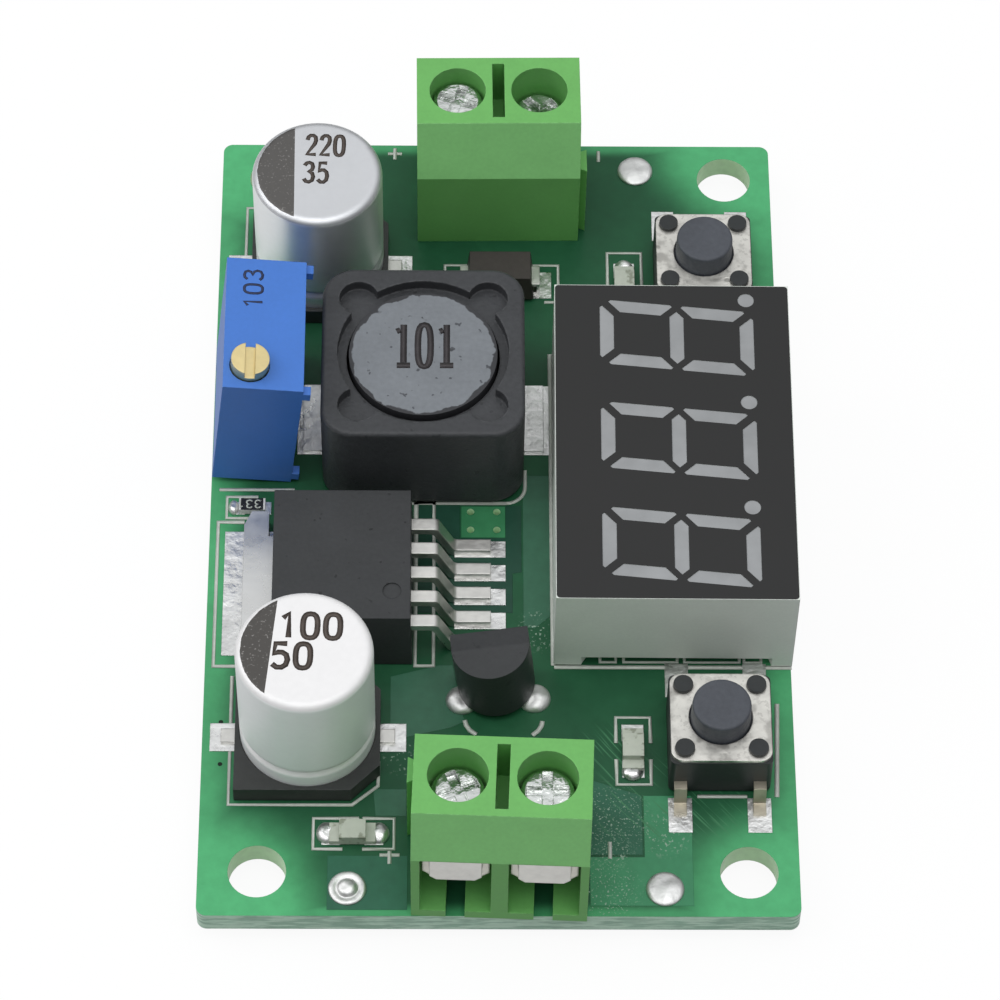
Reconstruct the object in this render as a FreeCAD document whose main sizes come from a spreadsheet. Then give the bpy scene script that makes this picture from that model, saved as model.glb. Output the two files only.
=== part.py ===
import FreeCAD, Part
import os
import re
import Sketcher

# Buck converter module: a board with screw terminals, switches, trimmer, display and power parts.
# Millimetres. The origin is the centre of the four mounting holes, on the board's underside.
# +X points to the display's side, +Y to the output terminal, +Z out of the component side.

SIZES = {
    # Board, with its centre shifted from the centre of the hole pattern
    "board_width": 35.0,
    "board_length": 56.0,
    "board_thickness": 1.6,
    "board_corner_radius": 0.6,
    "board_shift_across": -0.26,
    "board_shift_along": -0.10,
    "hole_diameter": 3.4,
    "hole_spacing_across": 28.6,
    "hole_spacing_along": 50.4,
    "via_diameter": 0.45,
    "via_spacing_across": 1.6,
    "via_spacing_along": 1.3,
    "via_group_across": -0.84,
    "via_group_along": -0.8,
    # Solder on both sides of the board
    "solder_film": 0.06,
    "solder_cone_height": 0.9,
    "solder_cone_top": 1.0,
    "pin_clearance": 0.15,
    "pin_stub": 1.2,
    # Round pads for soldered wires, filled with solder, between the board's end and the capacitor
    "wire_pad_diameter": 2.25,
    "wire_pad_height": 0.22,
    "wire_dome_diameter": 1.3,
    "wire_dome_height": 0.38,
    "input_pad_share": 0.234,
    "output_pad_share": 0.37,
    "input_plus_across": -8.78,
    "input_minus_across": 9.64,
    "output_plus_across": -8.9,
    "output_minus_across": 8.9,
    # Screw terminal: moulded housing, standing with its wire side at the board's edge
    "terminal_width": 10.16,
    "terminal_height": 10.15,
    "terminal_shoulder_height": 6.5,
    "terminal_front_lean": 1.05,
    "terminal_top_depth": 5.15,
    "terminal_back_lean": 1.55,
    "terminal_pitch": 5.08,
    "terminal_overhang": 0.14,
    "input_terminal_turn": -2.1,
    "output_terminal_turn": 180.6,
    "output_terminal_across": 0.0,
    "window_floor": 0.7,
    "window_depth": 6.35,
    "window_lip": 0.9,
    "window_slot_width": 1.1,
    "cavity_head_room": 0.1,
    "well_diameter": 3.5,
    "well_from_front": 3.62,
    "divider_width": 0.75,
    "divider_length": 4.2,
    "divider_depth": 3.6,
    "rib_width": 0.45,
    "rib_depth": 0.2,
    "rib_height": 2.2,
    "rib_spread": 2.6,
    "dovetail_depth": 0.45,
    "dovetail_width": 1.3,
    "dovetail_height": 6.2,
    "dovetail_from_front": 6.1,
    "dovetail_flare": 0.2,
    "dovetail_clearance": 0.05,
    # Rising clamp cage: a folded sleeve with chamfered lower corners
    "cage_width": 3.85,
    "cage_depth": 4.4,
    "cage_clearance": 0.125,
    "cage_guard_gap": 0.05,
    "cage_bottom": 3.0,
    "cage_height": 3.9,
    "cage_side_wall": 0.45,
    "cage_floor_wall": 0.65,
    "cage_top_wall": 0.7,
    "cage_corner_cut": 0.7,
    # Contact strip with its upturned guard in front and its solder pin behind
    "contact_width": 2.2,
    "contact_thickness": 0.5,
    "contact_gap": 0.06,
    "contact_from_front": 0.4,
    "guard_width": 3.0,
    "guard_height": 2.1,
    "guard_corner_cut": 0.4,
    "contact_pin_width": 0.9,
    # Clamp screw
    "screw_head_diameter": 3.05,
    "screw_head_height": 1.05,
    "screw_shank_diameter": 2.4,
    "screw_clearance": 0.06,
    "screw_tip_gap": 0.1,
    "screw_tip_edge": 0.3,
    "screw_head_edge": 0.25,
    "screw_slot_width": 0.62,
    "screw_slot_length": 2.45,
    "screw_slot_depth": 0.5,
    "input_left_screw_rise": 0.55,
    "input_right_screw_rise": 0.75,
    "output_left_screw_rise": 1.2,
    "output_right_screw_rise": 0.1,
    "input_left_screw_turn": 24.0,
    "input_right_screw_turn": 2.0,
    "output_left_screw_turn": -20.0,
    "output_right_screw_turn": 38.0,
    # Surface-mounted electrolytic capacitor
    "can_diameter": 8.0,
    "can_top": 10.05,
    "can_edge_radius": 0.45,
    "can_groove_height": 2.0,
    "can_groove_depth": 0.25,
    "can_groove_width": 0.7,
    "capacitor_base_margin": 0.275,
    "capacitor_base_height": 1.25,
    "capacitor_base_floor": 0.55,
    "capacitor_base_cut": 1.7,
    "capacitor_fit": 0.04,
    "capacitor_lead_width": 0.9,
    "capacitor_lead_thickness": 0.25,
    "capacitor_lead_root": 1.5,
    "capacitor_lead_reach": 5.15,
    "capacitor_pad_length": 1.6,
    "capacitor_pad_width": 1.9,
    "capacitor_pad_inset": 0.15,
    "input_capacitor_across": -11.24,
    "input_capacitor_gap": 0.725,
    "output_capacitor_across": -11.12,
    "output_capacitor_gap": 1.185,
    # Shielded power inductor
    "inductor_size": 12.3,
    "inductor_height": 7.5,
    "inductor_corner_radius": 2.0,
    "inductor_edge_radius": 0.25,
    "inductor_across": -4.55,
    "inductor_along": 6.58,
    "inductor_bore_gap": 0.15,
    "inductor_recess": 10.4,
    "inductor_recess_depth": 0.75,
    "inductor_lobe_diameter": 2.4,
    "inductor_lobe_offset": 3.93,
    "core_flange_diameter": 9.0,
    "core_flange_height": 1.3,
    "core_shaft_diameter": 4.2,
    "core_sink": 0.3,
    "coil_diameter": 8.4,
    "coil_gap": 0.1,
    "inductor_terminal_width": 4.9,
    "inductor_terminal_reach": 1.25,
    "inductor_terminal_root": 3.4,
    "inductor_terminal_thickness": 0.25,
    "inductor_pad_width": 5.14,
    "inductor_pad_reach": 1.6,
    # Regulator with five leads and a metal tab
    "regulator_length": 8.43,
    "regulator_breadth": 9.95,
    "regulator_height": 4.5,
    "regulator_end_draft": 0.12,
    "regulator_side_draft": 0.45,
    "regulator_lead_side": -5.12,
    "regulator_along": -6.08,
    "regulator_mark_diameter": 1.1,
    "regulator_mark_depth": 0.1,
    "regulator_mark_inset": 1.2,
    "tab_reach": 1.8,
    "tab_breadth": 10.1,
    "tab_thickness": 1.3,
    "tab_corner_cut": 0.45,
    "tab_corner_length": 1.0,
    "tab_notch_depth": 1.8,
    "tab_notch_width": 0.3,
    "tab_tongue": 6.3,
    "lead_count": 5,
    "lead_pitch": 1.7,
    "lead_width": 0.8,
    "lead_thickness": 0.5,
    "lead_level": 2.35,
    "lead_row_offset": -0.22,
    "lead_knee": 1.35,
    "lead_ankle": 2.35,
    "lead_toe": 4.7,
    "lead_root": 1.5,
    "lead_bend_radius": 0.35,
    "bend_slope": 0.3,
    "regulator_pad_length": 3.1,
    "regulator_pad_width": 1.15,
    "regulator_pad_overrun": 0.9,
    "slug_pad_length": 3.2,
    "slug_pad_overrun": 1.2,
    "slug_pad_breadth": 8.8,
    # Three-lead reference in a round-backed moulding
    "reference_width": 4.6,
    "reference_flat_depth": 1.3,
    "reference_round_diameter": 4.62,
    "reference_round_offset": 0.17,
    "reference_height": 4.35,
    "reference_top_fall": 0.22,
    "reference_stand": 0.6,
    "reference_across": -0.1,
    "reference_from_lead": 3.1,
    "reference_turn": 5.0,
    "reference_lean": -5.5,
    "reference_lead_pitch": 1.27,
    "reference_pad_pitch": 2.2,
    "reference_lead_size": 0.42,
    "reference_lead_offset": -0.5,
    "reference_lead_root": 1.6,
    # Square multi-turn trimmer, leaning to the right
    "trimmer_width": 4.83,
    "trimmer_length": 9.53,
    "trimmer_height": 9.75,
    "trimmer_wall": 0.55,
    "trimmer_base_height": 1.5,
    "trimmer_foot_height": 0.45,
    "trimmer_foot_length": 1.6,
    "trimmer_nub": 0.45,
    "trimmer_nub_length": 0.6,
    "trimmer_lean": 6.0,
    "trimmer_lift": 0.08,
    "trimmer_gap": 0.685,
    "trimmer_along": 6.72,
    "trimmer_screw_diameter": 2.3,
    "trimmer_screw_proud": 0.75,
    "trimmer_screw_slot_width": 0.6,
    "trimmer_screw_slot_depth": 0.45,
    "trimmer_screw_across": -0.85,
    "trimmer_screw_along": -3.1,
    "trimmer_worm_diameter": 1.3,
    "trimmer_worm_length": 6.4,
    "trimmer_running_gap": 0.06,
    "rotor_diameter": 3.6,
    "rotor_thickness": 0.9,
    "rotor_tooth_count": 22,
    "rotor_tooth_height": 0.3,
    "rotor_hub_diameter": 1.2,
    "rotor_hub_length": 1.4,
    "element_thickness": 0.6,
    "trimmer_pin_pitch": 2.54,
    "trimmer_pin_size": 0.5,
    "trimmer_pin_across": 0.9,
    # Three-digit display
    "display_width": 14.25,
    "display_length": 22.58,
    "display_top": 7.55,
    "display_stand": 0.08,
    "display_wall": 0.9,
    "display_notch_height": 0.9,
    "display_notch_width": 11.9,
    "display_notch_slope": 0.85,
    "display_gap": 0.525,
    "display_along": 0.2,
    "display_turn": -0.3,
    "digit_count": 3,
    "digit_pitch": 7.53,
    "digit_half_height": 4.67,
    "digit_half_width": 2.39,
    "digit_across": 0.28,
    "digit_along": -0.13,
    "digit_slant": 0.097,
    "segment_sink": 0.04,
    "segment_width": 0.86,
    "segment_length": 3.9,
    "segment_nib": 0.14,
    "bar_segment_length": 3.87,
    "post_segment_centre": 2.2,
    "point_diameter": 1.0,
    "point_across": 4.25,
    "point_along": 2.81,
    "carrier_thickness": 1.0,
    "carrier_clearance": 0.1,
    "carrier_level": 1.9,
    "display_pin_pitch": 2.54,
    "display_pin_inset": 1.625,
    "display_pin_diameter": 0.5,
    "display_pin_count": 6,
    # Push switches
    "switch_size": 6.0,
    "switch_base_top": 3.3,
    "switch_corner_radius": 0.35,
    "switch_cover_thickness": 0.27,
    "switch_cover_radius": 0.7,
    "switch_cover_inset": 0.05,
    "switch_post_diameter": 1.15,
    "switch_post_spacing": 4.3,
    "switch_post_proud": 0.24,
    "switch_well_depth": 1.75,
    "button_diameter": 3.45,
    "button_taper": 0.06,
    "button_top": 5.05,
    "button_flange_diameter": 4.0,
    "button_flange_thickness": 0.5,
    "button_gap": 0.03,
    "button_clearance": 0.09,
    "button_edge_radius": 0.15,
    "plunger_diameter": 1.6,
    "dome_diameter": 4.1,
    "dome_clearance": 0.2,
    "dome_crown_diameter": 1.8,
    "dome_rise": 0.62,
    "dome_thickness": 0.12,
    "switch_lead_width": 0.75,
    "switch_lead_spacing": 4.65,
    "switch_lead_level": 1.0,
    "switch_lead_thickness": 0.25,
    "switch_lead_knee": 0.45,
    "switch_lead_ankle": 0.85,
    "switch_lead_toe": 1.62,
    "switch_lead_root": 0.4,
    "switch_stand": 0.15,
    "switch_pad_from_base": 1.6,
    "switch_pad_width": 1.4,
    "switch_pad_length": 2.3,
    "front_switch_across": 12.97,
    "front_switch_gap": 1.01,
    "back_switch_across": 12.9,
    "back_switch_gap": 0.85,
    # Diode in a flat two-lead moulding
    "diode_length": 4.2,
    "diode_breadth": 2.5,
    "diode_height": 2.2,
    "diode_draft": 0.2,
    "diode_across": 0.2,
    "diode_from_back": 11.1,
    "diode_lead_width": 1.45,
    "diode_lead_thickness": 0.2,
    "diode_lead_level": 0.95,
    "diode_lead_root": 0.6,
    "diode_lead_reach": 0.4,
    "diode_foot": 1.1,
    "diode_pad_length": 1.9,
    "diode_pad_offset": 2.29,
    "diode_pad_width": 2.0,
    # Indicator chips on their pads
    "led_length": 2.7,
    "led_width": 1.25,
    "led_substrate": 0.35,
    "led_lens_length": 1.55,
    "led_lens_height": 0.45,
    "led_pad_length": 1.1,
    "led_pad_width": 1.3,
    "led_pad_inset": 0.1,
    "power_led_across": -8.52,
    "power_led_share": 0.698,
    "input_led_across": 7.95,
    "input_led_from_display": 5.91,
    "output_led_across": 8.04,
    "output_led_from_display": 5.31,
    # Chip resistors, one beside the regulator and some under the display
    "resistor_length": 1.6,
    "resistor_width": 0.85,
    "resistor_height": 0.45,
    "resistor_cap": 0.3,
    "resistor_cap_proud": 0.03,
    "resistor_pad_length": 0.7,
    "resistor_pad_width": 0.9,
    "resistor_across": -14.95,
    "resistor_along": 0.03,
    "hidden_resistor_count": 4,
    "hidden_resistor_pitch": 2.4,
    "hidden_resistor_from_pins": 1.8,
    "hidden_resistor_along": -3.4,
    # Meter chip under the display
    "meter_chip_width": 4.4,
    "meter_chip_length": 6.5,
    "meter_chip_height": 1.0,
    "meter_chip_stand": 0.1,
    "meter_lead_count": 7,
    "meter_lead_pitch": 0.8,
    "meter_lead_width": 0.3,
    "meter_lead_reach": 0.8,
    "meter_lead_thickness": 0.15,
    "meter_pad_margin": 0.5,
    "meter_chip_across": -1.1,
    "meter_chip_along": 0.2,
}

doc = FreeCAD.newDocument("buck_converter")
sheet = doc.addObject("Spreadsheet::Sheet", "Sizes")
for row, (alias, number) in enumerate(SIZES.items(), start=1):
    sheet.set(f"A{row}", alias)
    sheet.set(f"B{row}", str(number))
    sheet.setAlias(f"B{row}", alias)
doc.recompute()

NODES = []


# Formulas: a formula is written with the sheet's aliases, and bound to a property as an expression

def formula(text):
    return re.sub(r"[a-z][a-z_]+", lambda word: f"Sizes.{word[0]}" if word[0] in SIZES else word[0], text)


def value(text):
    return float(sheet.evalExpression(formula(text)))


def bind(thing, name, text):
    thing.setExpression(name, formula(text))


# Sketches and the features made from them

def body(name):
    made = doc.addObject("PartDesign::Body", name)
    made.AllowCompound = True
    return made


def datum(owner, role):
    return [feature for feature in owner.Origin.OriginFeatures if feature.Role == role][0]


def sketch(owner, role="XY_Plane", level="0"):
    made = owner.newObject("Sketcher::SketchObject", owner.Name + "_sketch")
    made.AttachmentSupport = [(datum(owner, role), "")]
    made.MapMode = "FlatFace"
    bind(made, "AttachmentOffset.Base.z", level)
    return made


def fixed(kind, edge, point, text):
    return Sketcher.Constraint(kind, -1, 1, edge, point, value(text)), text


def constrained(drawn, pairs):
    added = drawn.addConstraint([constraint for constraint, _ in pairs])
    for number, (_, text) in zip(added, pairs):
        if text:
            bind(drawn, f"Constraints[{number}]", text)


def outline(drawn, corners):
    points = [FreeCAD.Vector(value(x), value(y), 0) for x, y in corners]
    ends = points[1:] + points[:1]
    edges = drawn.addGeometry([Part.LineSegment(a, b) for a, b in zip(points, ends)], False)
    following = edges[1:] + edges[:1]
    pairs = [(Sketcher.Constraint("Coincident", edge, 2, after, 1), None)
             for edge, after in zip(edges, following)]
    for edge, (x, y) in zip(edges, corners):
        pairs.append(fixed("DistanceX", edge, 1, x))
        pairs.append(fixed("DistanceY", edge, 1, y))
    constrained(drawn, pairs)


def rectangle(drawn, x, y, width, depth):
    left, right = f"{x} - ({width}) / 2", f"{x} + ({width}) / 2"
    low, high = f"{y} - ({depth}) / 2", f"{y} + ({depth}) / 2"
    outline(drawn, [(left, low), (right, low), (right, high), (left, high)])


def circle(drawn, x, y, diameter):
    centre = FreeCAD.Vector(value(x), value(y), 0)
    up = FreeCAD.Vector(0, 0, 1)
    edge = drawn.addGeometry(Part.Circle(centre, up, value(diameter) / 2), False)
    width = Sketcher.Constraint("Diameter", edge, value(diameter)), diameter
    constrained(drawn, [fixed("DistanceX", edge, 3, x), fixed("DistanceY", edge, 3, y), width])


def swept(owner, kind, drawn, length, both, back):
    made = owner.newObject(kind, owner.Name + "_feature")
    made.Profile = drawn
    made.SideType = "Symmetric" if both else "One side"
    made.Reversed = back
    bind(made, "Length", length)
    doc.recompute()
    return made


def pad(owner, drawn, length, both=False, back=False):
    return swept(owner, "PartDesign::Pad", drawn, length, both, back)


def pocket(owner, drawn, length, both=False, back=False):
    return swept(owner, "PartDesign::Pocket", drawn, length, both, back)


def turned(owner, drawn, kind="PartDesign::Revolution"):
    made = owner.newObject(kind, owner.Name + "_turning")
    made.Profile = drawn
    made.ReferenceAxis = (datum(owner, "Z_Axis"), [""])
    made.Angle = 360
    doc.recompute()
    return made


def edges_where(owner, test):
    found = enumerate(owner.Shape.Edges, start=1)
    return [f"Edge{number}" for number, edge in found if test(edge)]


def dressed(owner, kind, names, prop, size):
    tip = owner.Tip
    made = owner.newObject(kind, owner.Name + "_dressing")
    made.Base = (tip, names)
    bind(made, prop, size)
    doc.recompute()
    return made


def fillet(owner, test, radius):
    return dressed(owner, "PartDesign::Fillet", edges_where(owner, test), "Radius", radius)


def repeated(owner, features, role, count, spacing, back=False):
    made = owner.newObject("PartDesign::LinearPattern", owner.Name + "_row")
    made.Originals = features
    made.Direction = (datum(owner, role), [""])
    made.Mode = "Spacing"
    made.Reversed = back
    bind(made, "Occurrences", count)
    bind(made, "Offset", spacing)
    owner.Tip = made
    doc.recompute()
    return made


def upright(edge):
    first, last = edge.Vertexes[0].Point, edge.Vertexes[-1].Point
    return abs(first.x - last.x) < 1e-6 and abs(first.y - last.y) < 1e-6 and abs(first.z - last.z) > 1e-6


def at_height(text):
    def test(edge):
        box = edge.BoundBox
        return abs(box.ZMin - value(text)) < 1e-4 and abs(box.ZMax - value(text)) < 1e-4
    return test


# Part primitives and booleans

def box(name, width, depth, height, x, y, z):
    made = doc.addObject("Part::Box", name)
    bind(made, "Length", width)
    bind(made, "Width", depth)
    bind(made, "Height", height)
    bind(made, "Placement.Base.x", f"{x} - ({width}) / 2")
    bind(made, "Placement.Base.y", f"{y} - ({depth}) / 2")
    bind(made, "Placement.Base.z", z)
    return made


def cylinder(name, diameter, height, x, y, z):
    made = doc.addObject("Part::Cylinder", name)
    bind(made, "Radius", f"({diameter}) / 2")
    bind(made, "Height", height)
    bind(made, "Placement.Base.x", x)
    bind(made, "Placement.Base.y", y)
    bind(made, "Placement.Base.z", z)
    return made


def joined(name, pieces):
    made = doc.addObject("Part::MultiFuse", name)
    made.Shapes = pieces
    return made


def cut(name, base, tool):
    made = doc.addObject("Part::Cut", name)
    made.Base = base
    made.Tool = tool
    return made


# Places: the regulator, the inductor and the display are placed from the board's centre, their
# neighbours from them, and the terminals, the diode and the wire pads from the board's ends

FRONT = "(board_shift_along - board_length / 2)"
BACK = "(board_shift_along + board_length / 2)"
REGULATOR_ALONG = "(board_shift_along + regulator_along)"
INDUCTOR_ALONG = "(board_shift_along + inductor_along)"
INDUCTOR_REACH = "(inductor_size / 2 + inductor_terminal_reach)"
TRIMMER_ACROSS = f"(inductor_across - {INDUCTOR_REACH} - trimmer_gap - trimmer_width / 2)"
TRIMMER_ALONG = "(board_shift_along + trimmer_along)"
DISPLAY_ACROSS = f"(inductor_across + {INDUCTOR_REACH} + display_gap + display_width / 2)"
DISPLAY_ALONG = "(board_shift_along + display_along)"
CAPACITOR_HALF = "(can_diameter / 2 + capacitor_base_margin)"
INPUT_CAPACITOR_ALONG = f"({REGULATOR_ALONG} - tab_breadth / 2 - input_capacitor_gap - {CAPACITOR_HALF})"
OUTPUT_CAPACITOR_ALONG = f"({INDUCTOR_ALONG} + inductor_size / 2 + output_capacitor_gap + {CAPACITOR_HALF})"
INPUT_STRIP = f"({INPUT_CAPACITOR_ALONG} - {CAPACITOR_HALF} - {FRONT})"
OUTPUT_STRIP = f"({BACK} - {OUTPUT_CAPACITOR_ALONG} - {CAPACITOR_HALF})"


def place(thing, x, y, z="board_thickness", turn="0", lean="0"):
    at = f"vector(board_shift_across + {x}; {y}; {z})"
    bind(thing, "Placement", f"placement({at}; rotation({turn}; {lean}; 0))")
    return thing


def node(thing, label):
    thing.Label = label
    NODES.append(thing)
    return thing


# Pieces that go through the board add their drills here, and their solder cones and pins below it

DRILLS = []
CONES = []


def through_pin(name, x, y, size, holder):
    drill = cylinder(name + "_drill", f"{size} + 2 * pin_clearance", "3 * board_thickness",
                     x, y, "-2 * board_thickness")
    cone = doc.addObject("Part::Cone", name + "_cone")
    bind(cone, "Radius1", "solder_cone_top / 2")
    bind(cone, "Radius2", f"{size} / 2 + solder_cone_top / 2")
    bind(cone, "Height", "solder_cone_height")
    bind(cone, "Placement.Base.x", x)
    bind(cone, "Placement.Base.y", y)
    bind(cone, "Placement.Base.z", "-board_thickness - solder_cone_height")
    holder[0].append(drill)
    holder[1].append(cone)


def through_group(name, holder, where):
    drills = joined(name + "_drills", holder[0])
    cones = joined(name + "_cones", holder[1])
    DRILLS.append(place(drills, *where))
    CONES.append(place(cones, *where))


# Screw terminals. In a terminal's own frame its wire side is at y = 0 and it stands on z = 0

TERMINAL_DEPTH = "(terminal_front_lean + terminal_top_depth + terminal_back_lean)"
WINDOW_WIDTH = "(cage_width + 2 * cage_clearance)"
CAGE_FRONT = "(contact_from_front + contact_thickness + cage_guard_gap)"
CAGE_TOP = "(cage_bottom + cage_height)"
CONTACT_LEVEL = "(cage_bottom + cage_floor_wall + contact_gap)"
CONTACT_TOP = f"({CONTACT_LEVEL} + contact_thickness)"
CAVITY_TOP = f"({CAGE_TOP} + cavity_head_room)"
INPUT_PLACE = ("0", f"{FRONT} - terminal_overhang", "board_thickness", "input_terminal_turn")
OUTPUT_PLACE = ("output_terminal_across", f"{BACK} + terminal_overhang", "board_thickness",
                "output_terminal_turn")
SIDES = {"left": "-terminal_pitch / 2", "right": "terminal_pitch / 2"}
TURNED_SIDES = {"left": "terminal_pitch / 2", "right": "-terminal_pitch / 2"}
TERMINALS = {"input": (INPUT_PLACE, SIDES), "output": (OUTPUT_PLACE, TURNED_SIDES)}


def dovetail_outline(drawn, side, slack):
    outer = f"{side} - dovetail_depth"
    near, far = f"(dovetail_width / 2 + {slack})", f"(dovetail_width / 2 + dovetail_flare + {slack})"
    outline(drawn, [
        (side, f"dovetail_from_front - {near}"),
        (outer, f"dovetail_from_front - {far}"),
        (outer, f"dovetail_from_front + {far}"),
        (side, f"dovetail_from_front + {near}"),
    ])


def terminal_housing(name):
    made = body(name)
    side = sketch(made, "YZ_Plane")
    outline(side, [
        ("0", "0"),
        (TERMINAL_DEPTH, "0"),
        (TERMINAL_DEPTH, "terminal_shoulder_height"),
        ("terminal_front_lean + terminal_top_depth", "terminal_height"),
        ("terminal_front_lean", "terminal_height"),
        ("0", "terminal_shoulder_height"),
    ])
    pad(made, side, "terminal_width", both=True)
    dovetail = sketch(made, "XY_Plane")
    dovetail_outline(dovetail, "-terminal_width / 2", "0")
    pad(made, dovetail, "dovetail_height")
    socket = sketch(made, "XY_Plane")
    dovetail_outline(socket, "terminal_width / 2", "dovetail_clearance")
    pocket(made, socket, "dovetail_height", back=True)
    windows = sketch(made, "XZ_Plane")
    middle = "(window_floor + terminal_shoulder_height) / 2"
    for across in SIDES.values():
        rectangle(windows, across, middle, WINDOW_WIDTH, "terminal_shoulder_height - window_floor")
    pocket(made, windows, "window_depth")
    cages = sketch(made, "XZ_Plane", "-window_lip")
    for across in SIDES.values():
        rectangle(cages, across, f"(window_floor + {CAVITY_TOP}) / 2", WINDOW_WIDTH,
                  f"{CAVITY_TOP} - window_floor")
    pocket(made, cages, "window_depth - window_lip")
    slots = sketch(made, "XY_Plane", "window_floor")
    for across in SIDES.values():
        rectangle(slots, across, "window_depth / 2", "window_slot_width", "window_depth")
    pocket(made, slots, "window_floor")
    wells = sketch(made, "XY_Plane", "terminal_height")
    for across in SIDES.values():
        circle(wells, across, "well_from_front", "well_diameter")
    pocket(made, wells, f"terminal_height - {CAGE_TOP}")
    divider = sketch(made, "XY_Plane", "terminal_height")
    rectangle(divider, "0", "well_from_front", "divider_width", "divider_length")
    pocket(made, divider, "divider_depth")
    ribs = sketch(made, "XZ_Plane", "-window_depth")
    for across in SIDES.values():
        for offset in ("- rib_spread / 2", "+ rib_spread / 2"):
            rectangle(ribs, f"{across} {offset}", "window_floor + rib_height / 2", "rib_width", "rib_height")
    pad(made, ribs, "rib_depth")
    return made


def terminal_contacts(name):
    made = body(name)
    guards = sketch(made, "XZ_Plane", "-contact_from_front")
    for across in SIDES.values():
        low, high = CONTACT_LEVEL, f"{CONTACT_LEVEL} + guard_height"
        outline(guards, [
            (f"{across} - guard_width / 2 + guard_corner_cut", low),
            (f"{across} + guard_width / 2 - guard_corner_cut", low),
            (f"{across} + guard_width / 2", f"{low} + guard_corner_cut"),
            (f"{across} + guard_width / 2", high),
            (f"{across} - guard_width / 2", high),
            (f"{across} - guard_width / 2", f"{low} + guard_corner_cut"),
        ])
    pad(made, guards, "contact_thickness", back=True)
    strips = sketch(made, "XY_Plane", CONTACT_LEVEL)
    for across in SIDES.values():
        rectangle(strips, across, "(contact_from_front + window_depth) / 2", "contact_width",
                  "window_depth - contact_from_front")
    pad(made, strips, "contact_thickness")
    pins = sketch(made, "XY_Plane", CONTACT_LEVEL)
    for across in SIDES.values():
        rectangle(pins, across, "window_depth - contact_thickness / 2", "contact_pin_width",
                  "contact_thickness")
    pad(made, pins, f"{CONTACT_LEVEL} + board_thickness + pin_stub", back=True)
    return made


def clamp_cage(name, across):
    made = body(name)
    ring = sketch(made, "XZ_Plane", f"-{CAGE_FRONT}")
    outline(ring, [
        (f"{across} - cage_width / 2 + cage_corner_cut", "cage_bottom"),
        (f"{across} + cage_width / 2 - cage_corner_cut", "cage_bottom"),
        (f"{across} + cage_width / 2", "cage_bottom + cage_corner_cut"),
        (f"{across} + cage_width / 2", CAGE_TOP),
        (f"{across} - cage_width / 2", CAGE_TOP),
        (f"{across} - cage_width / 2", "cage_bottom + cage_corner_cut"),
    ])
    floor, roof = "cage_bottom + cage_floor_wall", f"{CAGE_TOP} - cage_top_wall"
    rectangle(ring, across, f"({floor} + {roof}) / 2", "cage_width - 2 * cage_side_wall",
              f"{roof} - ({floor})")
    pad(made, ring, "cage_depth", back=True)
    thread = sketch(made, "XY_Plane", CAGE_TOP)
    circle(thread, across, "well_from_front", "screw_shank_diameter + 2 * screw_clearance")
    pocket(made, thread, "cage_top_wall")
    return made


def clamp_screw(name, rise):
    made = body(name)
    under = f"{CAGE_TOP} + {rise}"
    top = f"{under} + screw_head_height"
    tip = f"{CONTACT_TOP} + screw_tip_gap"
    half = sketch(made, "XZ_Plane")
    outline(half, [
        ("0", tip),
        ("screw_shank_diameter / 2 - screw_tip_edge", tip),
        ("screw_shank_diameter / 2", f"{tip} + screw_tip_edge"),
        ("screw_shank_diameter / 2", under),
        ("screw_head_diameter / 2", under),
        ("screw_head_diameter / 2", f"{top} - screw_head_edge"),
        ("screw_head_diameter / 2 - screw_head_edge", top),
        ("0", top),
    ])
    turned(made, half)
    recess = sketch(made, "XY_Plane", top)
    arm, half_width = "screw_slot_length / 2", "screw_slot_width / 2"
    outline(recess, [
        (f"-{arm}", f"-{half_width}"), (f"-{half_width}", f"-{half_width}"),
        (f"-{half_width}", f"-{arm}"), (half_width, f"-{arm}"),
        (half_width, f"-{half_width}"), (arm, f"-{half_width}"),
        (arm, half_width), (half_width, half_width),
        (half_width, arm), (f"-{half_width}", arm),
        (f"-{half_width}", half_width), (f"-{arm}", half_width),
    ])
    pocket(made, recess, "screw_slot_depth")
    return made


for end, (where, sides) in TERMINALS.items():
    node(place(terminal_housing(f"{end}_housing_body"), *where), f"{end}_terminal_housing")
    contacts = node(place(terminal_contacts(f"{end}_contacts_body"), *where), f"{end}_terminal_contacts")
    holder = ([], [])
    for side, across in sides.items():
        through_pin(f"{end}_{side}_pin", across, "window_depth - contact_thickness / 2",
                    "contact_pin_width", holder)
        node(place(clamp_cage(f"{end}_{side}_cage_body", across), *where), f"{end}_cage_{side}")
        x, y, z, turn = where
        angle = f"({turn} * 1 deg)"
        shift_x = f"{across} * cos{angle} - well_from_front * sin{angle}"
        shift_y = f"{across} * sin{angle} + well_from_front * cos{angle}"
        screw = clamp_screw(f"{end}_{side}_screw_body", f"{end}_{side}_screw_rise")
        facing = f"{turn} + {end}_{side}_screw_turn"
        node(place(screw, f"{x} + {shift_x}", f"{y} + {shift_y}", z, facing), f"{end}_screw_{side}")
    through_group(f"{end}_terminal", holder, where)


# Surface-mounted electrolytic capacitors

CAN_BOTTOM = "(solder_film + capacitor_base_floor)"
GROOVE_LEVEL = f"({CAN_BOTTOM} + can_groove_height)"
CAPACITORS = {
    "input": ("input_capacitor_across", INPUT_CAPACITOR_ALONG),
    "output": ("output_capacitor_across", OUTPUT_CAPACITOR_ALONG),
}


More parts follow.
